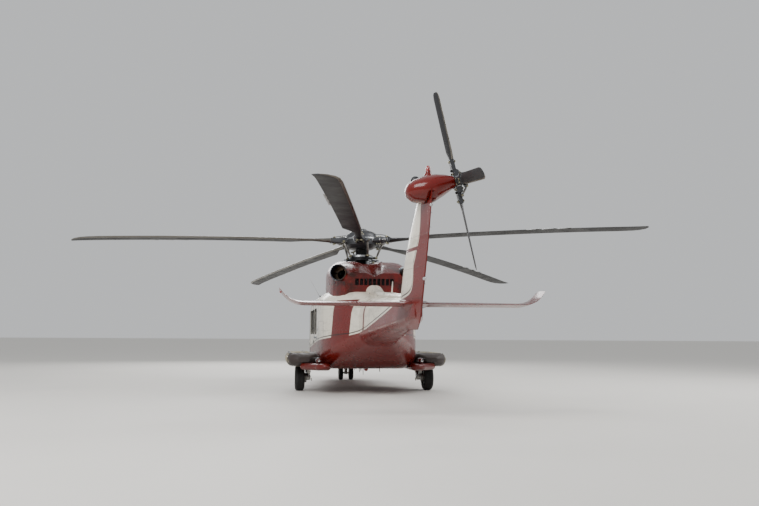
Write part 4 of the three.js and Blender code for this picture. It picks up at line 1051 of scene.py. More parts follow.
def pilotShell(across, low, high):  # bucket, floor rails, splayed legs, energy absorbing tubes and arm rests
    parts = [bucket([(0.0, 0.19, 0.05), (0.02, 0.222, 0.075), (0.3, 0.222, 0.06), (0.43, 0.2, 0.02),
                     (0.445, 0.18, 0.012)], 0.008, low, (0, -0.01, -0.012)),
             bucket([(-0.02, 0.215, 0.05), (0.1, 0.222, 0.075), (0.42, 0.215, 0.06), (0.55, 0.19, 0.02),
                     (0.66, 0.15, 0.016), (0.705, 0.12, 0.012)], 0.008, high, (0, 0, -0.014))]
    for x in (-0.17, 0.17):
        parts.append((block(at(across + x, -2.92, 0.716), (0.036, 0.56, 0.03), 0.004), bare))
        for start, end, size in pilotSeats["legs"]:
            parts.append((tube([at(across + x, start, 0.73), at(across + x * 0.9, end, 1.1)], size, 12),
                          gearPaint))
        arm = curved([high @ Vector((x * 1.38, y, z)) for y, z in pilotSeats["arm"]])
        parts.append((tube(arm, [0.012] * 6 + [0.02] * 12 + [0.014], 12), seatHide))
    for back in (-3.1, -2.72):
        parts.append((block(at(across, back, 1.085), (0.34, 0.03, 0.03), 0.006), gearPaint))
    return parts


def pilotHarness(cushionSkin, backSkin, low, high):
    straps = []
    for x in (-1, 1):
        shoulder = ((0.045 * x, 0.515), (0.05 * x, 0.36), (0.06 * x, 0.2), (0.05 * x, 0.04))
        lap = ((0.195 * x, 0.06), (0.14 * x, 0.12), (0.03 * x, 0.15))
        straps += [strap(laid(backSkin, shoulder), high), strap(laid(cushionSkin, lap), low)]
    straps.append(strap(laid(cushionSkin, ((0, 0.41), (0, 0.3), (0, 0.17))), low))
    place, out = laid(cushionSkin, ((0.0, 0.15), (0.0, 0.16)))
    disc = [(0.012, 0.0), (0.034, 0.002), (0.036, 0.014), (0.03, 0.02), (0.012, 0.022)]
    return straps + [(placed(lathe(disc, place[0], out[0], 24), low), chrome)]


def addPilotSeats():
    cushion, backPad, headPad = (
        inflate(padBlank(*pilotSeats[pad]), pilotSeats["voxel"], pilotSeats.get(pad + "Lines", ()))
        for pad in ("cushion", "back", "head"))
    cushionSkin, backSkin = BVHTree.FromPolygons(*cushion), BVHTree.FromPolygons(*backPad)
    for side, s in sides:
        node = (f"pilot_seat_{side}",)
        across = s * pilotSeats["across"]
        low, high = cushionPlace(across, -2.735, 1.108), backPlace(across, -2.672, 1.14, seats["lean"])
        for label, pad, place in (("Cushion", cushion, low), ("Backrest", backPad, high),
                                  ("Headrest", headPad, high @ Matrix.Translation((0, 0.565, 0.012)))):
            piece = makePiece(f"pilot{label}{side.title()}", [(placed(pad, place), seatHide)],
                              "airframe", node, 60)
        makePiece(f"pilotSeatShell{side.title()}", pilotShell(across, low, high), "airframe",
                  node)
        makePiece(f"pilotHarness{side.title()}", pilotHarness(cushionSkin, backSkin, low, high),
                  "airframe")
        spots = stitches(cushionSkin, pilotSeats["cushionLines"], 0.41, 0.42, low)
        spots += stitches(backSkin, pilotSeats["backLines"], 0.4, 0.53, high)
        repeatBars(f"pilotSeatStitches{side.title()}", spots, "airframe", "seat_fabric", webbing,
                   *seats["thread"], 5)


def addCabinSeats():
    cushion, backPad = (inflate(padBlank(*cabinSeats[pad]), cabinSeats["voxel"], cabinSeats[pad + "Lines"])
                        for pad in ("cushion", "back"))
    belt = laid(BVHTree.FromPolygons(*cushion), cabinSeats["belt"])
    middle = len(belt[0]) // 2
    buckle = block(belt[0][middle] + belt[1][middle] * 0.008, (0.06, 0.05, 0.014), 0.004)
    shells, belts = [], []
    for row, front in enumerate(cabinSeats["rows"]):
        low = [cushionPlace(across, front + 0.41, 1.072) for across in cabinSeats["places"]]
        high = [backPlace(across, front + 0.475, 1.165) for across in cabinSeats["places"]]
        for label, pad, places in (("Cushions", cushion, low), ("Backrests", backPad, high)):
            piece = makePiece(f"cabin{label}{row + 1}", [(placed(pad, place), seatCloth) for place in places],
                              "airframe", ("cabin_seats",), 60)
        for across, seatAt, backAt in zip(cabinSeats["places"], low, high):
            shells.append(bucket([(0.0, 0.18, 0.03), (0.02, 0.205, 0.04), (0.36, 0.205, 0.03),
                                  (0.4, 0.19, 0.015)],
                                 0.006, seatAt, (0, 0, -0.012)))
            shells.append(bucket([(-0.08, 0.2, 0.02), (0.1, 0.207, 0.035), (0.5, 0.2, 0.03),
                                  (0.585, 0.15, 0.016)],
                                 0.006, backAt, (0, 0, -0.014)))
            for x in (-0.17, 0.17):  # leg frames down to the floor rails
                for start, end in ((0.05, 0.08), (0.4, 0.34)):
                    foot = [at(across + x, front + start, 0.715), at(across + x, front + end, 1.07)]
                    shells.append((tube(foot, 0.012, 10), bare))
            belts += [strap(belt, seatAt), (placed(buckle, seatAt), chrome)]
        shells += [(block(at(across, front + 0.24, 0.71), (0.03, 0.44, 0.018), 0.003), bare)
                   for across in cabinSeats["rails"]]
    makePiece("cabinSeatFrames", shells, "airframe", ("cabin_seats",))
    makePiece("cabinBelts", belts, "airframe")


addPilotSeats()
addCabinSeats()
print("seats made")

# Cockpit: displays, hood, console keys, sticks, levers and pedals, in the panel's own sizes
cockpit = {
    "face": -3.559, "screenUp": 1.212, "screens": (-0.57, -0.255, 0.255, 0.57),
    "screenSize": (0.262, 0.185), "border": 0.034, "standby": (1.145, 0.073),
    "hood": ((-3.88, 1.375, 1.395), (-3.7, 1.375, 1.4), (-3.52, 1.335, 1.365), (-3.49, 1.325, 1.345)),
    "console": 1.05, "boxes": (-3.48, -3.27, -3.06, -2.87), "stick": -3.36, "seat": 0.46,
    "collective": 0.27, "pedals": -3.7,
    "knob": (0.011, 0.009, 0.018), "key": (0.008, 0.006, 0.004),
}


def displays():
    face, up = cockpit["face"], cockpit["screenUp"]
    (wide, tall), border = cockpit["screenSize"], cockpit["border"]
    parts, knobs, keys = [], [], []
    for across in cockpit["screens"]:
        parts.append((block(at(across, face + 0.004, up), (wide + border, 0.018, tall + border), 0.005),
                      plastic))
        parts.append((block(at(across, face + 0.0135, up), (wide, 0.003, tall), 0.001), screen))
        keys += [(at(across + (i - 3.5) * 0.031, face + 0.0145, up + t * (tall / 2 + 0.009)), tailward)
                 for i in range(8) for t in (-1, 1)]
        knobs += [(at(across + t * (wide / 2 - 0.02), face + 0.02, 1.098), tailward) for t in (-1, 1)]
    low, pitch = cockpit["standby"]
    bezel = [(0.0, 0.0), (0.034, 0.0), (0.034, 0.012), (0.028, 0.013), (0.026, 0.006), (0.0, 0.006)]
    dial = [(0.0, 0.006), (0.0255, 0.006), (0.0255, 0.0085), (0.0, 0.0085)]
    for k in range(3):  # standby instruments between the displays
        centre = at(0, face - 0.002, low + pitch * k)
        parts += [(lathe(bezel, centre, tailward, 28), plastic), (lathe(dial, centre, tailward, 28), screen)]
    hood = [[at(x, back, z) for x, z in ((-0.775, low), (-0.7, high), (0.7, high), (0.775, low),
                                         (0.74, low - 0.02), (-0.74, low - 0.02))]
            for back, low, high in cockpit["hood"]]
    return parts + [(loft(hood), seatHide)], knobs, keys


def console():
    top = cockpit["console"]
    parts, keys = [], []
    for i, back in enumerate(cockpit["boxes"]):
        for across in (-0.073, 0.073):
            parts.append((block(at(across, back, top + 0.004), (0.132, 0.17, 0.014), 0.003), plastic))
            if i < 2:
                parts.append((block(at(across, back - 0.045, top + 0.012), (0.1, 0.06, 0.004), 0.001),
                              screen))
            keys += [(at(across + (c - 2) * 0.022, back + r * 0.018, top + 0.013), upward)
                     for c in range(5) for r in range(4)]
    for across in (-0.05, 0.05):  # engine levers
        parts.append((tube([at(across, -2.79, top), at(across, -2.81, top + 0.09)], 0.006, 8), bare))
        parts.append((block(at(across, -2.81, top + 0.1), (0.03, 0.025, 0.03), 0.006), plastic))
    return parts, keys


def controls(x):  # stick with its boot, lever beside the seat, pedals
    y, side = cockpit["stick"], x + cockpit["collective"]
    boot = [(0.075, 0.0), (0.078, 0.01), (0.055, 0.03), (0.06, 0.04), (0.04, 0.06), (0.044, 0.07),
            (0.022, 0.09)]
    stem = curved([at(x, y + back, up) for back, up in ((0, 0.74), (-0.03, 0.86), (0.02, 0.99),
                                                        (0.05, 1.05))])
    grip = [at(x, y + back, up) for back, up in ((0.045, 1.04), (0.055, 1.08), (0.05, 1.13), (0.03, 1.17),
                                                 (0.02, 1.19))]
    lever = curved([at(side, back, up) for back, up in ((-2.74, 0.74), (-2.9, 0.86), (-3.12, 0.97))])
    sleeve = [at(side, back, up) for back, up in ((-3.05, 0.936), (-3.07, 0.945), (-3.2, 1.01),
                                                  (-3.22, 1.02))]
    parts = [(lathe(boot, at(x, y, 0.7), upward, 20), seal), (tube(stem, 0.014, 12), plastic),
             (tube(grip, [0.016, 0.021, 0.019, 0.024, 0.018], 14), seal), (tube(lever, 0.013, 12), plastic),
             (tube(sleeve, [0.014, 0.02, 0.021, 0.016], 14), seal),
             (block(at(side, -3.22, 1.025), (0.06, 0.035, 0.04), 0.008), plastic),
             (lathe([(0.05, 0.0), (0.05, 0.02), (0.02, 0.05)], at(side, -2.74, 0.7), upward, 16), seal)]
    back, tilt = cockpit["pedals"], Matrix.Rotation(math.radians(-25), 4, "X")
    for place in (x - 0.11, x + 0.11):
        parts.append((tube([at(place, back - 0.05, 0.72), at(place, back, 0.86)], 0.012, 10), bare))
        parts.append((block(at(place, back + 0.01, 0.89), (0.09, 0.012, 0.13), 0.003, tilt), bare))
    return parts


def addCockpit():
    parts, knobs, keys = displays()
    fittings, moreKeys = console()
    parts += fittings + controls(cockpit["seat"]) + controls(-cockpit["seat"])
    makePiece("cockpitFittings", parts, "airframe")
    repeatBars("panelKnobs", knobs, "airframe", "panel_plastic", plastic, *cockpit["knob"], 14)
    repeatBars("panelKeys", keys + moreKeys, "airframe", "panel_plastic", liner, *cockpit["key"], 4)


addCockpit()
print("cockpit fitted")

# Openings in the side, as (back, up): seals, handles and rails. The screen's outline is (across, back)
openings = {
    "cabinWindows": ((-2.03, -1.35), (-1.23, -0.55), (-0.32, 0.4)), "windowUp": (1.33, 1.95),
    "corner": 0.11, "bead": 0.008, "flat": 1.13, "sealSize": 0.007,
    "door": ((-2.13, 0.739), (-0.453, 0.739), (-0.453, 2.083), (-2.13, 2.083)),
    "cockpitWindow": ((-3.304, 1.156), (-2.506, 1.156), (-2.506, 1.974), (-2.914, 1.974), (-3.304, 1.361)),
    "baggage": ((1.05, 0.98), (1.75, 1.62)), "rail": (-0.4, 0.6, 1.245),
    "screen": ((0.028, -4.014), (0.634, -4.014), (0.804, -3.85), (0.944, -3.45), (0.894, -3.066),
               (0.534, -2.966), (0.028, -2.966)),
}


def roundLoop(low, high, corner, pitch):  # corners and sides of a rounded rectangle in a plane
    outline = []
    for u, v, start in ((high[0] - corner, low[1] + corner, -90), (high[0] - corner, high[1] - corner, 0),
                        (low[0] + corner, high[1] - corner, 90), (low[0] + corner, low[1] + corner, 180)):
        turns = [math.radians(start + 15 * k) for k in range(7)]
        outline += [(u + corner * math.cos(a), v + corner * math.sin(a)) for a in turns]
    return dense(outline, pitch)


def dense(outline, pitch):  # adds points along the long sides
    path = []
    for (u0, v0), (u1, v1) in zip(outline, outline[1:] + outline[:1]):
        count = max(int(math.hypot(u1 - u0, v1 - v0) / pitch), 1)
        path += [(u0 + (u1 - u0) * k / count, v0 + (v1 - v0) * k / count) for k in range(count)]
    return path


def windowSeals(side, s):
    low, high = openings["windowUp"]
    parts = []
    for start, end in openings["cabinWindows"]:
        loop = roundLoop((start, low), (end, high), openings["corner"], 0.3)
        bead = [at(s * openings["flat"], y, z) for y, z in loop]
        parts.append((hoop(bead, portward * s, openings["bead"]), seal))
    hits = met(fromSide(hullSkin, s, y, z) for y, z in dense(list(openings["door"]), 0.06))
    sunk = [place - portward * s * 0.001 for place, _ in hits]
    parts.append((hoop(sunk, [n for _, n in hits], 0.0035, 6), seal))
    makePiece(f"windowSeals{side.title()}", parts, "airframe")


def doorFittings(side, s):  # slide rail, latches, handles, baggage door, filler cap and static ports
    start, end, up = openings["rail"]
    middle = (start + end) / 2
    parts = [(block(at(s * x, back, z), size, edge), finish) for x, back, z, size, edge, finish in (
        (1.134, middle, up, (0.016, end - start, 0.05), 0.004, bare),
        (1.142, middle, up, (0.006, end - start - 0.03, 0.016), 0.002, darkMetal),
        (1.136, start, up, (0.022, 0.03, 0.062), 0.005, bare),
        (1.136, end, up, (0.022, 0.03, 0.062), 0.005, bare),
        (1.132, -0.66, 1.13, (0.008, 0.17, 0.085), 0.004, darkMetal),
        (1.1375, -0.68, 1.13, (0.01, 0.11, 0.024), 0.005, bare),
        (1.131, -2.02, 0.86, (0.008, 0.07, 0.045), 0.003, bare),
        (1.131, -0.58, 0.86, (0.008, 0.07, 0.045), 0.003, bare))]
    hits = met(fromSide(hullSkin, s, y, z) for y, z in roundLoop(*openings["baggage"], 0.05, 0.06))
    parts.append((hoop(*lifted(hits, -0.001), 0.003, 6), seal))
    for back in (1.2, 1.6):
        place, n = fromSide(hullSkin, s, back, 1.04)
        turn = aim(n) @ aim(portward).inverted()
        parts.append((block(place + n * 0.001, (0.008, 0.06, 0.03), 0.003, turn), bare))
    cap = [(0.0, 0.004), (0.052, 0.004), (0.06, 0.0065), (0.062, 0.003), (0.062, 0.0)]
    stud = [(0.0, 0.014), (0.016, 0.012), (0.02, 0.0)]
    port = [(0.004, 0.005), (0.02, 0.0045), (0.024, 0.0)]
    parts.append((fitted(cap, fromSide(hullSkin, s, 0.86, 1.46), 28, 0.001), bare))
    parts.append((fitted(stud, fromSide(hullSkin, s, 0.98, 1.4), 14), bare))
    parts += [(fitted(port, fromSide(screenSkin, s, -4.3, up), 18), bare) for up in (1.02, 1.1)]
    makePiece(f"doorFittings{side.title()}", parts, "airframe")


def cockpitDoorTrim(side, s):
    leaf = skinOf(f"cockpit_door_{side}")
    hits = met(fromSide(leaf, s, y, z) for y, z in dense(list(openings["cockpitWindow"]), 0.05))
    handle = fromSide(leaf, s, -2.5, 1.06)
    parts = [(hoop(*lifted(hits), openings["sealSize"]), seal),
             (plate(handle, 0.002, (0.008, 0.1, 0.05)), darkMetal),
             (plate(handle, 0.012, (0.012, 0.085, 0.02), 0.004), bare)]
    makePiece(f"cockpitDoorTrim{side.title()}", parts, f"cockpit_door_{side}_leaf")


def windscreenTrim(side, s):  # seal, wiper arm and blade
    hits = met(fromAbove(screenSkin, s * x, y) for x, y in dense(list(openings["screen"]), 0.05))
    foot = fromAbove(screenSkin, s * 0.42, -4.035)
    reach = [fromAbove(screenSkin, s * (0.42 - 0.3 * t), -4.035 + 0.52 * t) for t in (0.2, 0.5, 0.75, 1.0)]
    arm = curved([foot[0] + foot[1] * 0.03] + lifted(reach, 0.034)[0], 4)
    wiped = [fromAbove(screenSkin, s * (0.12 + 0.05 * t), -3.74 + 0.42 * t)
             for t in (0, 0.25, 0.5, 0.75, 1.0)]
    parts = [(hoop(*lifted(hits), openings["sealSize"]), seal),
             (fitted([(0.03, 0.0), (0.03, 0.02), (0.02, 0.038), (0.0, 0.04)], foot, 18), plastic),
             (tube(arm, [0.011] * 8 + [0.008] * 9, 8), darkMetal),
             (band(*lifted(wiped, 0.002), 0.016, 0.022), rubber)]
    makePiece(f"windscreenTrim{side.title()}", parts, "airframe")


for addTrim in (windowSeals, doorFittings, cockpitDoorTrim, windscreenTrim):
    for side, s in sides:
        addTrim(side, s)
print("openings trimmed")

# Aerials, lights, probes and small fittings: where each one meets its skin.
# Aerials are (across, back, tall, chord)
outside = {
    "above": ((0.0, -2.55, 0.2, 0.17),),
    "below": ((0.0, -1.3, 0.15, 0.2), (0.0, 0.55, 0.17, 0.16), (0.32, -0.45, 0.08, 0.1)),
    "boomAerial": (4.9, 0.22, 0.19), "whip": ((0.86, -2.32), (1.16, -2.3, 2.86)),
    "pucks": (0.3, -2.42), "pitot": (-4.62, 0.92), "landingLights": (0.3, -3.2, 0.058),
    "sideLights": (2.6, 7.12, 1.98, 0.022), "tailLights": ((2.16, 0.024), (3.2, 0.018)),
    "slots": (-2.27, 0.95), "beacon": (-0.05, 8.0, 3.7), "dome": (0.15, 8.0, 3.605),
    "bellyLight": (0, 1.15, 0.05), "radar": (0.18, -0.1), "hook": (0, 0.15),
    "stabiliserWicks": ((0.95, 7.36), (1.35, 7.36), (1.75, 7.35)), "finWicks": (1.75, 2.1, 2.9, 3.1),
    "wick": (0.0045, 0.0018, 0.13),
}


def aerialFin(hit, tall, chord, sweep=0.35, thick=0.014):  # blade aerial, swept back
    place, out = hit
    along = (tailward - out * out.y).normalized()
    side = out.cross(along)
    rings = []
    for t in (-0.02, 0.04, 0.4, 0.8, 0.95, 1.0):
        size = chord * (1.15 if t < 0 else 1 - 0.45 * t) * (1 if t < 0.9 else 0.8 - 6 * (t - 0.95))
        centre = place + out * tall * t + along * sweep * tall * t
        rings.append([centre + along * size / 2 * math.cos(a) + side * thick / 2 * (1 - 0.4 * t) * math.sin(a)
                      for a in circle(16)])
    return loft(rings)


def lamp(hit, size, colour):  # moulded lens on a plated base
    return [(fitted([(size * 1.25, 0.0), (size * 1.25, 0.005), (size * 1.05, 0.008), (size, 0.002)], hit),
             bare),
            (fitted([(size, 0.002), (size, size * 0.5), (size * 0.8, size * 0.95), (size * 0.4, size * 1.2),
                     (0.0, size * 1.25)], hit), colour)]


def aerials():
    spots = [(fromAbove, spot, hullPaint) for spot in outside["above"]]
    spots += [(fromBelow, spot, bellyPaint) for spot in outside["below"]]
    parts = []
    for meet, (across, back, tall, chord), finish in spots:
        hit = meet(hullSkin, across, back)
        base = [(chord * 0.42, 0.0), (chord * 0.42, 0.006), (chord * 0.36, 0.009)]
        parts += [(aerialFin(hit, tall, chord), finish), (fitted(base, hit, 24), seal)]
    back, tall, chord = outside["boomAerial"]
    parts.append((aerialFin(fromAbove(coverSkin, 0, back), tall, chord), topPaint))
    foot = fromAbove(hullSkin, *outside["whip"][0])
    up = (at(*outside["whip"][1]) - foot[0]).normalized()
    base = [(0.034, 0.0), (0.034, 0.006), (0.022, 0.02), (0.016, 0.05), (0.012, 0.07)]
    parts.append((fitted(base, foot, 18), plastic))
    rod = [foot[0] + up * t for t in (0.03, 0.1, 0.2, 0.58)]
    return parts + [(tube(rod, [0.009, 0.006, 0.0045, 0.0025], 8), bare)]


def sideFittings(s):  # satellite puck, pitot probe, landing light, side light and slot port
    across, back = outside["pucks"]
    disc = [(0.058, 0.0), (0.058, 0.012), (0.045, 0.02), (0.0, 0.023)]
    parts = [(fitted(disc, fromAbove(hullSkin, s * across, back), 26), liner)]
    place, n = fromSide(screenSkin, s, *outside["pitot"])
    out = (n + Vector((0, 0, -0.3))).normalized()
    bend = [place - n * 0.004, place + out * 0.06, place + out * 0.1 - tailward * 0.03]
    bend += [place + out * 0.105 - tailward * reach for reach in (0.1, 0.24)]
    parts.append((tube(curved(bend, 4), [0.016] * 5 + [0.011] * 8 + [0.0095] * 3 + [0.007], 12), steel))
    parts.append((fitted([(0.04, 0.0), (0.04, 0.004), (0.03, 0.007)], (place, n), 18), bare))
    across, back, size = outside["landingLights"]
    parts += lamp(fromBelow(hullSkin, s * across, back), size, clearLens)
    across, back, up, size = outside["sideLights"]
    parts += lamp(fromSide(tailSkin, s, back, up, across), size, redLens if s > 0 else greenLens)
    slot = [(0.03, 0.0), (0.03, 0.004), (0.012, 0.006), (0.011, 0.001)]
    return parts + [(fitted(slot, fromSide(hullSkin, s, *outside["slots"])), bare)]


def crownFittings():  # beacon's foot and cover, and the dome beside it in dark plastic as painted shade, on top of the tail
    collar = [(0.082, -0.06), (0.078, 0.004), (0.064, 0.03), (0.05, 0.056), (0.041, 0.084), (0.0365, 0.088)]
    cover = [(0.037, 0.088), (0.0385, 0.09), (0.0385, 0.125), (0.032, 0.158), (0.018, 0.174), (0.0, 0.178)]
    dome = [(0.07, -0.06), (0.074, 0.0), (0.072, 0.04), (0.058, 0.072), (0.034, 0.092), (0.0, 0.098)]
    beacon = at(*outside["beacon"])
    return [(lathe(collar, beacon, upward, 32), redPaint), (lathe(cover, beacon, upward, 28), redLens),
            (lathe(dome, at(*outside["dome"]), upward, 32), plastic)]


def addOutside():
    parts = aerials()
    for _, s in sides:
        parts += sideFittings(s)
    for up, size in outside["tailLights"]:  # on the fin's rear edge
        parts += lamp(fromBehind(tailSkin, 0, 9.2, up), size, clearLens)
    parts += crownFittings()
    across, back, size = outside["bellyLight"]
    parts += lamp(fromBelow(hullSkin, across, back), size, redLens)
    half, back = outside["radar"]
    for across in (-half, half):  # radio height aerials under the hull
        parts.append((fitted([(0.055, 0.0), (0.055, 0.005), (0.0, 0.006)], fromBelow(hullSkin, across, back),
                             24), liner))
    eye = fromBelow(hullSkin, *outside["hook"])[0] - upward * 0.04
    parts.append((hoop(ring(eye, tailward, upward, 0.045, 20), portward, 0.009), steel))
    makePiece("aerialsAndLights", parts, "airframe")


def addWicks():
    wicks = []
    for _, s in sides:
        for across, back in outside["stabiliserWicks"]:
            edge = fromAbove(tailSkin, s * across, back - 0.02, 2.4)[0].z - 0.002
            wicks += [(hit[0], Vector((0.15 * s, 1, -0.05)))
                      for hit in met([fromBehind(tailSkin, s * across, 8.6, edge)])]
    wicks += [(fromBehind(tailSkin, 0, 9.2, up)[0], Vector((0, 1, -0.25))) for up in outside["finWicks"]]
    spots = [(place - tailward * 0.01, direction) for place, direction in wicks]
    repeatBars("staticWicks", spots, "airframe", "tyre", seal, *outside["wick"])


addOutside()
addWicks()
print("aerials and lights fitted")

# Engine bay: fine mesh behind the slats, latches, pipe clamps and turbine cones.
# The intake is (across, (front, back), (low, high)), the outlet (half width, back, (low, high))
engines = {
    "mesh": 0.02, "wire": 0.0011, "intake": (0.835, (-0.42, 0.24), (2.54, 2.8)),
    "outlet": (0.43, 2.462, (2.4, 2.545)), "exhaust": ((0.62, 1.75, 2.66), (0.8, 2.42, 2.68)),
    "bore": 0.162, "collarShare": 0.66, "latches": (-1.5, -0.9, 0.0, 1.0, 1.6, 2.1), "latchUp": 2.47,
    "coverLatches": ((2.9, 2.2), (3.3, 2.2), (3.9, 2.1), (4.5, 2.1), (5.1, 2.1), (5.7, 2.1), (6.3, 2.1)),
    "drains": ((0.2, 1.5), (-0.25, 1.62), (0.35, 2.0)), "bellyPitch": 0.115, "bellyEdge": 0.66,
    "bellyFrames": (-3.7, -2.9, -2.1, -1.3, -0.5, 0.4, 1.3, 1.9, 2.4), "screw": (0.01, 0.008, 0.004),
}


def addMeshes():
    x, (front, rear), (low, high) = engines["intake"]
    half, back, (foot, top) = engines["outlet"]
    pitch, wire = engines["mesh"], engines["wire"]
    intakes = [s * x for _, s in sides]
    rows = (
        ("intakeMeshUpright", [at(x, y, low) for x in intakes for y in steps(front, rear, pitch)], upward,
         high - low),
        ("intakeMeshLevel", [at(x, front, z) for x in intakes for z in steps(low, high, pitch)], tailward,
         rear - front),
        ("outletMeshUpright", [at(x, back, foot) for x in steps(-half, half, pitch)], upward, top - foot),
        ("outletMeshLevel", [at(-half, back, z) for z in steps(foot, top, pitch)], portward, 2 * half))
    for name, places, way, length in rows:
        spots = [(place, way) for place in places]
        repeatBars(name, spots, "airframe", "engine_metal", bare, wire, wire, length, 4)


def exhaustFittings(s):  # lipped mouth, turbine cone on its struts, clamp round the pipe
    a, b = (at(s * x, y, z) for x, y, z in engines["exhaust"])
    n = (b - a).normalized()
    u, v = crossAxes(n)
    bore, root = engines["bore"], a + n * 0.16
    mouth = [(bore + 0.002, -0.012), (bore + 0.02, -0.01), (bore + 0.0225, 0.0), (bore + 0.02, 0.006),
             (bore + 0.002, 0.006)]
    cone = [(0.105, 0.0), (0.105, 0.05), (0.09, 0.14), (0.055, 0.24), (0.02, 0.3), (0.0, 0.305)]
    clamp = [(0.1805, -0.02), (0.188, -0.014), (0.188, 0.014), (0.1805, 0.02)]
    parts = [(lathe(mouth, b, n, 40, loop=True), pipe), (lathe(cone, a + n * 0.09, n, 32), darkMetal)]
    for angle in circle(4, 0.5):
        arm = u * math.cos(angle) + v * math.sin(angle)
        parts.append((tube([root + arm * 0.09, root + arm * (bore + 0.004)], [0.012, 0.01], 8), darkMetal))
    parts.append((lathe(clamp, a.lerp(b, engines["collarShare"]), n, 40, loop=True), bare))
    return parts


def addEngineBay():
    half, back, (low, high) = engines["outlet"]
    backing = block(at(0, back - 0.06, (low + high) / 2), (2 * half + 0.04, 0.006, high - low + 0.05), 0.002)
    parts, screws = [(backing, darkMetal)], []
    for _, s in sides:
        parts += exhaustFittings(s)
        hits = met(fromSide(cowlSkin, s, back, engines["latchUp"]) for back in engines["latches"])
        parts += [(plate(hit, 0.001, (0.01, 0.075, 0.035), 0.004), bare) for hit in hits]
        hits = met(fromSide(coverSkin, s, back, up, 2) for back, up in engines["coverLatches"])
        parts += [(plate(hit, 0.001, (0.008, 0.06, 0.028)), bare) for hit in hits]
        screws += [(place + tailward * t, n) for place, n in hits for t in (-0.05, 0.05)]
    for angle in circle(24):  # bolts round the tail rotor's output
        out = tailAxis * 0.6 + Vector((0, math.cos(angle), math.sin(angle))) * 0.12
        hits = met([press(tailSkin, tailHub + out, -tailAxis)])
        screws += [hit for hit in hits if hit[1].dot(tailAxis) > 0.7]
    for across, back in engines["drains"]:  # drain masts under the hull
        place = fromBelow(hullSkin, across, back)[0]
        end = place + Vector((0, 0.05, -0.075))
        drain = [place + upward * 0.01, place.lerp(end, 0.5) - tailward * 0.01, end]
        parts.append((tube(drain, 0.009, 8), bare))
    edge, pitch = engines["bellyEdge"], engines["bellyPitch"]
    spots = [(x, y) for x in (-edge, edge) for y in steps(-3.7, 2.4, pitch)]
    spots += [(x, y) for y in engines["bellyFrames"] for x in steps(-0.6, 0.6, pitch)]
    screws += met(fromBelow(hullSkin, *spot) for spot in spots)
    makePiece("engineBayFittings", parts, "airframe")
    repeatBars("coverScrews", screws, "airframe", "gear_metal", steel, *engines["screw"])


# Actuators that tilt the swashplate: collars, valve blocks, caps and hoses on the CAD's three jacks
jacks = {
    "spots": ((0.4, 0.06), (-0.4, 0.06), (-0.17, 0.33)), "top": 3.12, "valve": (0.115, -0.035),
    "valveSize": (0.085, 0.085, 0.1),
}


def jackAt(x, y):
    out = Vector((x, y, 0)).normalized()
    side = upward.cross(out)
    foot = at(x, y, jacks["top"])
    reach, drop = jacks["valve"]
    valve = foot + out * reach + upward * drop
    collar = [(0.07, -0.09), (0.092, -0.088), (0.094, -0.06), (0.083, -0.055), (0.083, -0.02),
              (0.094, -0.016), (0.094, 0.006), (0.042, 0.01)]
    rod = [(0.043, 0.01), (0.0445, 0.012), (0.0445, 0.055), (0.043, 0.057)]
    cap = [(0.03, 0.0), (0.033, 0.004), (0.033, 0.022), (0.024, 0.028), (0.024, 0.04), (0.0, 0.042)]
    turn = Matrix.Rotation(math.atan2(out.y, out.x), 4, "Z")
    parts = [(lathe(collar, foot, upward, 28), bare), (lathe(rod, foot, upward, 24), chrome),
             (block(valve, jacks["valveSize"], 0.012, turn), hubPaint)]
    parts += [(lathe(cap, valve + way * 0.04, way, 18), finish)
              for way, finish in ((out, steel), (side, bare), (-side, bare))]
    for way in (-side, side):
        start = valve + way * 0.05 + upward * 0.035
        hose = [start, start + way * 0.05 + upward * 0.022, start + way * 0.1 - out * 0.03,
                start + way * 0.12 - out * 0.07 - upward * 0.1,
                start + way * 0.11 - out * 0.08 - upward * 0.17]
        parts.append((tube(curved(hose, 5), 0.0095, 8), seal))
    return parts


def addJacks():
    parts = [part for spot in jacks["spots"] for part in jackAt(*spot)]
    makePiece("jackFittings", parts, "airframe")


# Rounded tails of the sponsons: stations of (back, outer end, half height, up)
sponson = {
    "inner": 0.9, "thick": 0.0765, "narrowing": 0.1,
    "stations": ((2.036, 1.259, 0.0765, 0.595), (2.1, 1.235, 0.074, 0.597), (2.17, 1.185, 0.064, 0.602),
                 (2.225, 1.12, 0.047, 0.608), (2.258, 1.07, 0.026, 0.613), (2.268, 1.03, 0.008, 0.617)),
}


def stadium(inner, outer, half, back, up, s, count=8):  # flat oval section across the hull
    turn = [(x, start + 180 * k / count) for x, start in ((outer - half, -90), (inner + half, 90))
            for k in range(count + 1)]
    return [at(s * (x + half * math.cos(math.radians(a))), back, up + half * math.sin(math.radians(a)))
            for x, a in turn]


def addSponsonTails():
    parts = []
    for _, s in sides:
        rings = [stadium(sponson["inner"] + (1 - half / sponson["thick"]) * sponson["narrowing"], outer, half,
                         back, up, s)
                 for back, outer, half, up in sponson["stations"]]
        parts.append((loft(rings), redPaint))
    makePiece("sponsonTails", parts, "airframe")


addMeshes()
addEngineBay()
addJacks()
addSponsonTails()
print("engine bay fitted")

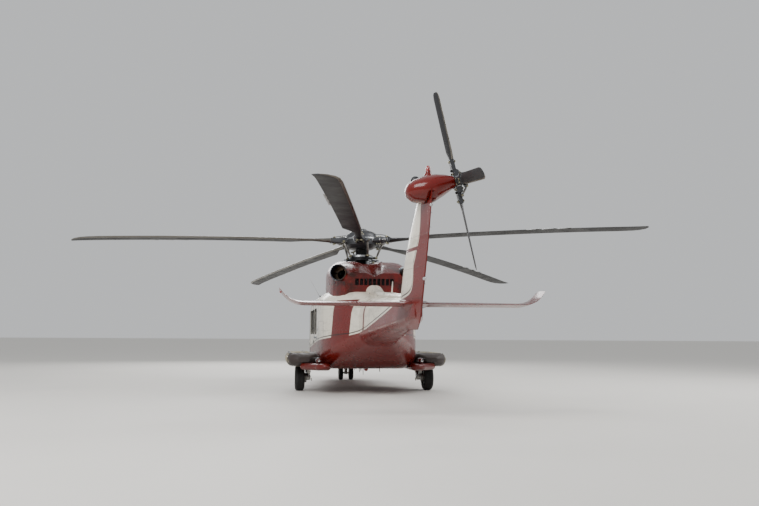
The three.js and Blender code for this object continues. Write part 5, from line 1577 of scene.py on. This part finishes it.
# Undercarriage: start, end and radius of each leg, the sleeve and the chromed piston as shares of its length
gear = {
    "main": ((1.33, 0.35, 0.64), (1.33, 0.8, 0.3), 0.046, (0.36, 0.58), (0.58, 0.88)),
    "strut": ((1.33, 1.18, 0.64), (1.33, 0.82, 0.32), 0.034, (0.38, 0.64), (0.64, 0.92)),
    "nose": ((0.0, -3.58, 0.65), (0.0, -3.58, 0.36), 0.05, (0.36, 0.62), (0.62, 0.985)),
    "brace": ((0.0, -3.58, 0.4), (0.0, -4.04, 0.64), 0.026, (0.2, 0.55), (0.55, 0.7)),
    "hub": (1.33, 0.8, 0.3), "knee": (1.33, 0.55, 0.27), "steer": (0.0, -3.58, 0.4),
    "fork": (0.0, -3.58, 0.33),
    "hose": ((1.385, 0.42, 0.53), (1.39, 0.5, 0.47), (1.385, 0.62, 0.4), (1.378, 0.72, 0.37),
             (1.376, 0.74, 0.358)),
    "mainBolts": (0.08, 10, 0.0265), "mainBolt": (0.0085, 0.0075, 0.011),
    "noseBolts": (0.053, 6, 0.0155), "noseBolt": (0.0065, 0.0055, 0.008),
}


def mirrored(place, s):  # a point of the port side, or its match to starboard
    return at(s * place[0], place[1], place[2])


def leg(key, s=1):  # sleeve and chromed piston over a CAD leg
    start, end, radius, sleeve, piston = gear[key]
    a, b = mirrored(start, s), mirrored(end, s)
    n = (b - a).normalized()
    length = (b - a).length * (sleeve[1] - sleeve[0])
    shine = (b - a).length * (piston[1] - piston[0])
    cover = [(radius * 1.02, 0.0), (radius * 1.16, 0.006), (radius * 1.16, length - 0.02),
             (radius * 1.3, length - 0.018), (radius * 1.3, length - 0.002), (radius * 1.02, length)]
    rod = [(radius, 0.0), (radius * 1.012, 0.002), (radius * 1.012, shine)]
    return [(lathe(cover, a.lerp(b, sleeve[0]), n, 28), gearPaint),
            (lathe(rod, a.lerp(b, piston[0]), n, 28), chrome)]


def links(top, foot, knee):  # scissor links with their pins
    parts = []
    for shift in (portward * -0.024, portward * 0.024):
        parts += [(tube([end + shift, knee + shift * 0.7], [0.014, 0.011], 8), gearPaint)
                  for end in (top, foot)]
    return parts + [bolt(pin, portward, 0.008, 0.036, steel) for pin in (top, foot, knee)]


def boltRing(centre, s, radius, count, stand):  # wheel bolts on the face towards s
    return [(place + portward * s * stand, portward * s)
            for place in ring(centre, tailward, upward, radius, count)]


def addMainGear(side, s):
    out, hub = portward * s, mirrored(gear["hub"], s)
    bush = [(0.05, -0.05), (0.058, -0.045), (0.058, 0.045), (0.05, 0.05)]
    brake = [(0.036, 0.05), (0.105, 0.052), (0.11, 0.06), (0.11, 0.1), (0.1, 0.108), (0.036, 0.108)]
    piston = [(0.0, -0.012), (0.012, -0.011), (0.017, 0.0), (0.017, 0.006)]
    parts = leg("main", s) + leg("strut", s) + [(lathe(bush, hub, out, 24), gearPaint),
                                                (lathe(brake, hub, out, 36), forged)]
    parts += [(lathe(piston, place + out * 0.05, out, 14), bare)
              for place in ring(hub, tailward, upward, 0.082, 6, math.pi / 6)]
    start, end, _, sleeve, _ = gear["main"]
    collar = mirrored(start, s).lerp(mirrored(end, s), sleeve[1])
    parts += links(collar + Vector((0, -0.055, -0.035)), hub + Vector((0, -0.045, -0.045)),
                   mirrored(gear["knee"], s))
    hose = curved([mirrored(place, s) for place in gear["hose"]], 5)
    eye = hub + Vector((-s * 0.075, 0, -0.04))
    parts += [(tube(hose, 0.007, 8), seal), (hoop(ring(eye, tailward, upward, 0.032, 20), portward, 0.007),
                                             steel)]
    makePiece(f"mainGearFittings{side.title()}", parts, "airframe")
    wheel = jointAt(f"main_wheel_{side}_roll")
    radius, count, stand = gear["mainBolts"]
    bolts = boltRing(wheel, s, radius, count, stand) + [(wheel + Vector((s * 0.055, 0.0, 0.118)),
                                                         Vector((s, 0, -0.4)))]
    repeatBars(f"mainWheelBolts{side.title()}", bolts, f"main_wheel_{side}", "gear_metal", steel,
               *gear["mainBolt"], 6)


def addNoseGear():
    steer = at(*gear["steer"])
    collar = [(0.05, -0.03), (0.068, -0.028), (0.072, -0.018), (0.072, 0.012), (0.06, 0.02), (0.05, 0.022)]
    parts = leg("nose") + leg("brace") + [(lathe(collar, steer, upward, 30), gearPaint)]
    for s in (-1, 1):  # steering jacks
        start, end = steer + Vector((s * 0.068, -0.02, 0)), steer + Vector((s * 0.06, -0.24, 0.1))
        parts.append((tube([start, start.lerp(end, 0.45)], 0.009, 10), chrome))
        parts.append((tube([start.lerp(end, 0.4), end], 0.018, 12), gearPaint))
    light = (steer + Vector((0, -0.05, 0.075)), Vector((0, -1, -0.1)).normalized())
    bowl = [(0.015, 0.0), (0.03, 0.01), (0.052, 0.045), (0.056, 0.05), (0.052, 0.05)]
    lens = [(0.05, 0.044), (0.05, 0.05), (0.03, 0.056), (0.0, 0.058)]
    parts += [(fitted(bowl, light, 24), bare), (fitted(lens, light, 24), clearLens)]
    makePiece("noseGearFittings", parts, "airframe")


def addSteeringFork():
    fork = at(*gear["fork"])
    collar = [(0.048, -0.025), (0.0565, -0.022), (0.0565, 0.008), (0.048, 0.012)]
    parts = [(lathe(collar, fork, upward, 28), bare)]
    parts += links(fork + tailward * 0.052, at(0, -3.488, 0.235), fork + Vector((0, 0.13, -0.045)))
    parts.append((block(at(0, -3.635, 0.225), (0.06, 0.05, 0.05), 0.01), gearPaint))
    towEye = ring(at(0, -3.672, 0.225), tailward, upward, 0.022, 18)
    parts.append((hoop(towEye, portward, 0.006), steel))
    makePiece("steeringForkFittings", parts, "nose_steering")
    radius, count, stand = gear["noseBolts"]
    axle, stand = jointAt("nose_wheels_roll"), wheels["noseOffset"] + stand
    bolts = [spot for _, s in sides for spot in boltRing(axle, s, radius, count, stand)]
    repeatBars("noseWheelBolts", bolts, "nose_wheels", "gear_metal", steel, *gear["noseBolt"], 6)


for side, s in sides:
    addMainGear(side, s)
addNoseGear()
addSteeringFork()
print("undercarriage fitted")

# Folded emergency floats: laced covers, hold-down straps, gas bottle, hose and sponson fittings.
# The bottle is (across, front, back, up, radius)
floats = {
    "centre": (1.48, 0.745), "straps": (0.02, 0.36, 0.7, 1.04, 1.34), "strap": (0.045, 0.006),
    "strapTurns": range(136, -60, -8), "buckle": (24, 0.012, 0.06, 0.05), "flaps": ((62, 0.05), (-22, 0.03)),
    "lace": 0.0125, "laceEnds": (-0.08, 1.44), "valves": (0.2, 1.2), "eyelet": (0.009, 0.006, 0.004),
    "bottle": (1.165, 1.62, 1.98, 0.735, 0.055),
    "hose": ((0, 2.01, 0), (0.04, 2.0, 0.05), (0.1, 1.75, 0.05), (0.17, 1.6, 0.03), (0.2, 1.53, 0.01)),
}


def addFloatCover(side, s):
    skin = skinOf(f"float_pod_{side}")
    x0, z0 = floats["centre"]

    def around(back, angle):  # angle 0 looks outwards, 90 up
        out = Vector((s * math.cos(math.radians(angle)), 0, math.sin(math.radians(angle))))
        return press(skin, at(s * x0, back, z0) + out, -out)

    parts, eyelets, cord = [], [], []
    turn, *buckle = floats["buckle"]
    for back in floats["straps"]:
        hits = met(around(back, angle) for angle in floats["strapTurns"])
        parts.append((band(*lifted(hits, 0.004), *floats["strap"]), podWebbing))
        place, n = around(back, turn)
        tilt = Matrix.Rotation(math.atan2(n.z, n.x * s) * -s, 4, "Y")
        parts.append((block(place + n * 0.009, buckle, 0.004, tilt), chrome))
    for angle, width in floats["flaps"]:  # flap edge and binding along the cover
        hits = met(around(back, angle) for back in steps(-0.12, 1.5, 0.06))
        parts.append((band(*lifted(hits), width, 0.0025), podCloth))
    # zigzag between two rows of eyelets
    for k, back in enumerate(steps(*floats["laceEnds"], floats["lace"])):
        hit = around(back, 5 * (2 - abs(k % 8 - 4)))
        if hit:
            cord.append(hit[0] + hit[1] * 0.006)
            if k % 4 == 0:
                eyelets.append(hit)
    parts.append((tube(cord, 0.003, 6), podWebbing))
    valve = [(0.03, 0.0), (0.03, 0.012), (0.022, 0.014), (0.02, 0.03), (0.0, 0.032)]
    parts += [(fitted(valve, around(back, 98)), bare) for back in floats["valves"]]
    makePiece(f"floatStraps{side.title()}", parts, "airframe")
    repeatBars(f"floatEyelets{side.title()}", eyelets, "airframe", "gear_metal", chrome, *floats["eyelet"],
               12)


def addFloatBottle(side, s):
    x, front, rear, z, radius = floats["bottle"]
    length = rear - front
    shoulder = [(radius * 0.7, 0.035), (radius * 0.95, 0.055), (radius, 0.08)]
    profile = [(0.014, 0.0), (0.016, 0.02)] + shoulder + [(r, length - h) for r, h in reversed(shoulder)]
    cap = [(0.0, 0.0), (0.026, 0.002), (0.03, 0.02), (0.026, 0.035), (0.016, 0.037)]
    parts = [(lathe(profile + [(0.0, length)], at(s * x, front, z), tailward, 28), redPaint),
             (lathe(cap, at(s * x, rear - 0.002, z), tailward, 18), chrome)]
    for back in (front + 0.1, rear - 0.1):
        clamp = ring(at(s * x, back, z), portward, upward, radius + 0.002, 28)
        parts.append((hoop(clamp, tailward, 0.006, 6), bare))
    hose = curved([at(s * (x + out), back, z + up) for out, back, up in floats["hose"]], 5)
    parts.append((tube(hose, 0.01, 10), seal))
    makePiece(f"floatBottle{side.title()}", parts, "airframe")


for side, s in sides:
    addFloatCover(side, s)
    addFloatBottle(side, s)
print("floats rigged")

# Pale floor and soft studio light: place, then power of each soft box
stage = {
    "floor": 400, "sky": "#eceef0", "skyStrength": 0.75, "boxSize": 9, "aim": (0, 1.5, 1.8),
    "boxes": (((9, 14, 12), 2600), ((-12, 3, 11), 1600), ((2, -16, 10), 1800)),
}


def addStage():
    bpy.ops.mesh.primitive_plane_add(size=stage["floor"])
    floor = bpy.context.object
    floor.name = "studioFloor"
    floor.data.materials.append(solidFinish("mattStudioFloor", "#d9d6d0", (0.65, 0.8), 0.0, 2.0, 0.02, 0.02,
                                            0.0002))
    world = bpy.data.worlds.new("studioWorld")
    world.use_nodes = True
    sky = world.node_tree.nodes["Background"].inputs
    sky["Color"].default_value = linear(stage["sky"])
    sky["Strength"].default_value = stage["skyStrength"]
    bpy.context.scene.world = world
    for spot, power in stage["boxes"]:
        light = bpy.data.lights.new("softBox", "AREA")
        light.size = stage["boxSize"]
        light.energy = power
        holder = bpy.data.objects.new("softBox", light)
        way = at(*stage["aim"]) - at(*spot)
        turned = way.to_track_quat("-Z", "Y").to_matrix().to_4x4()
        holder.matrix_world = Matrix.Translation(at(*spot)) @ turned
        bpy.context.scene.collection.objects.link(holder)


addStage()
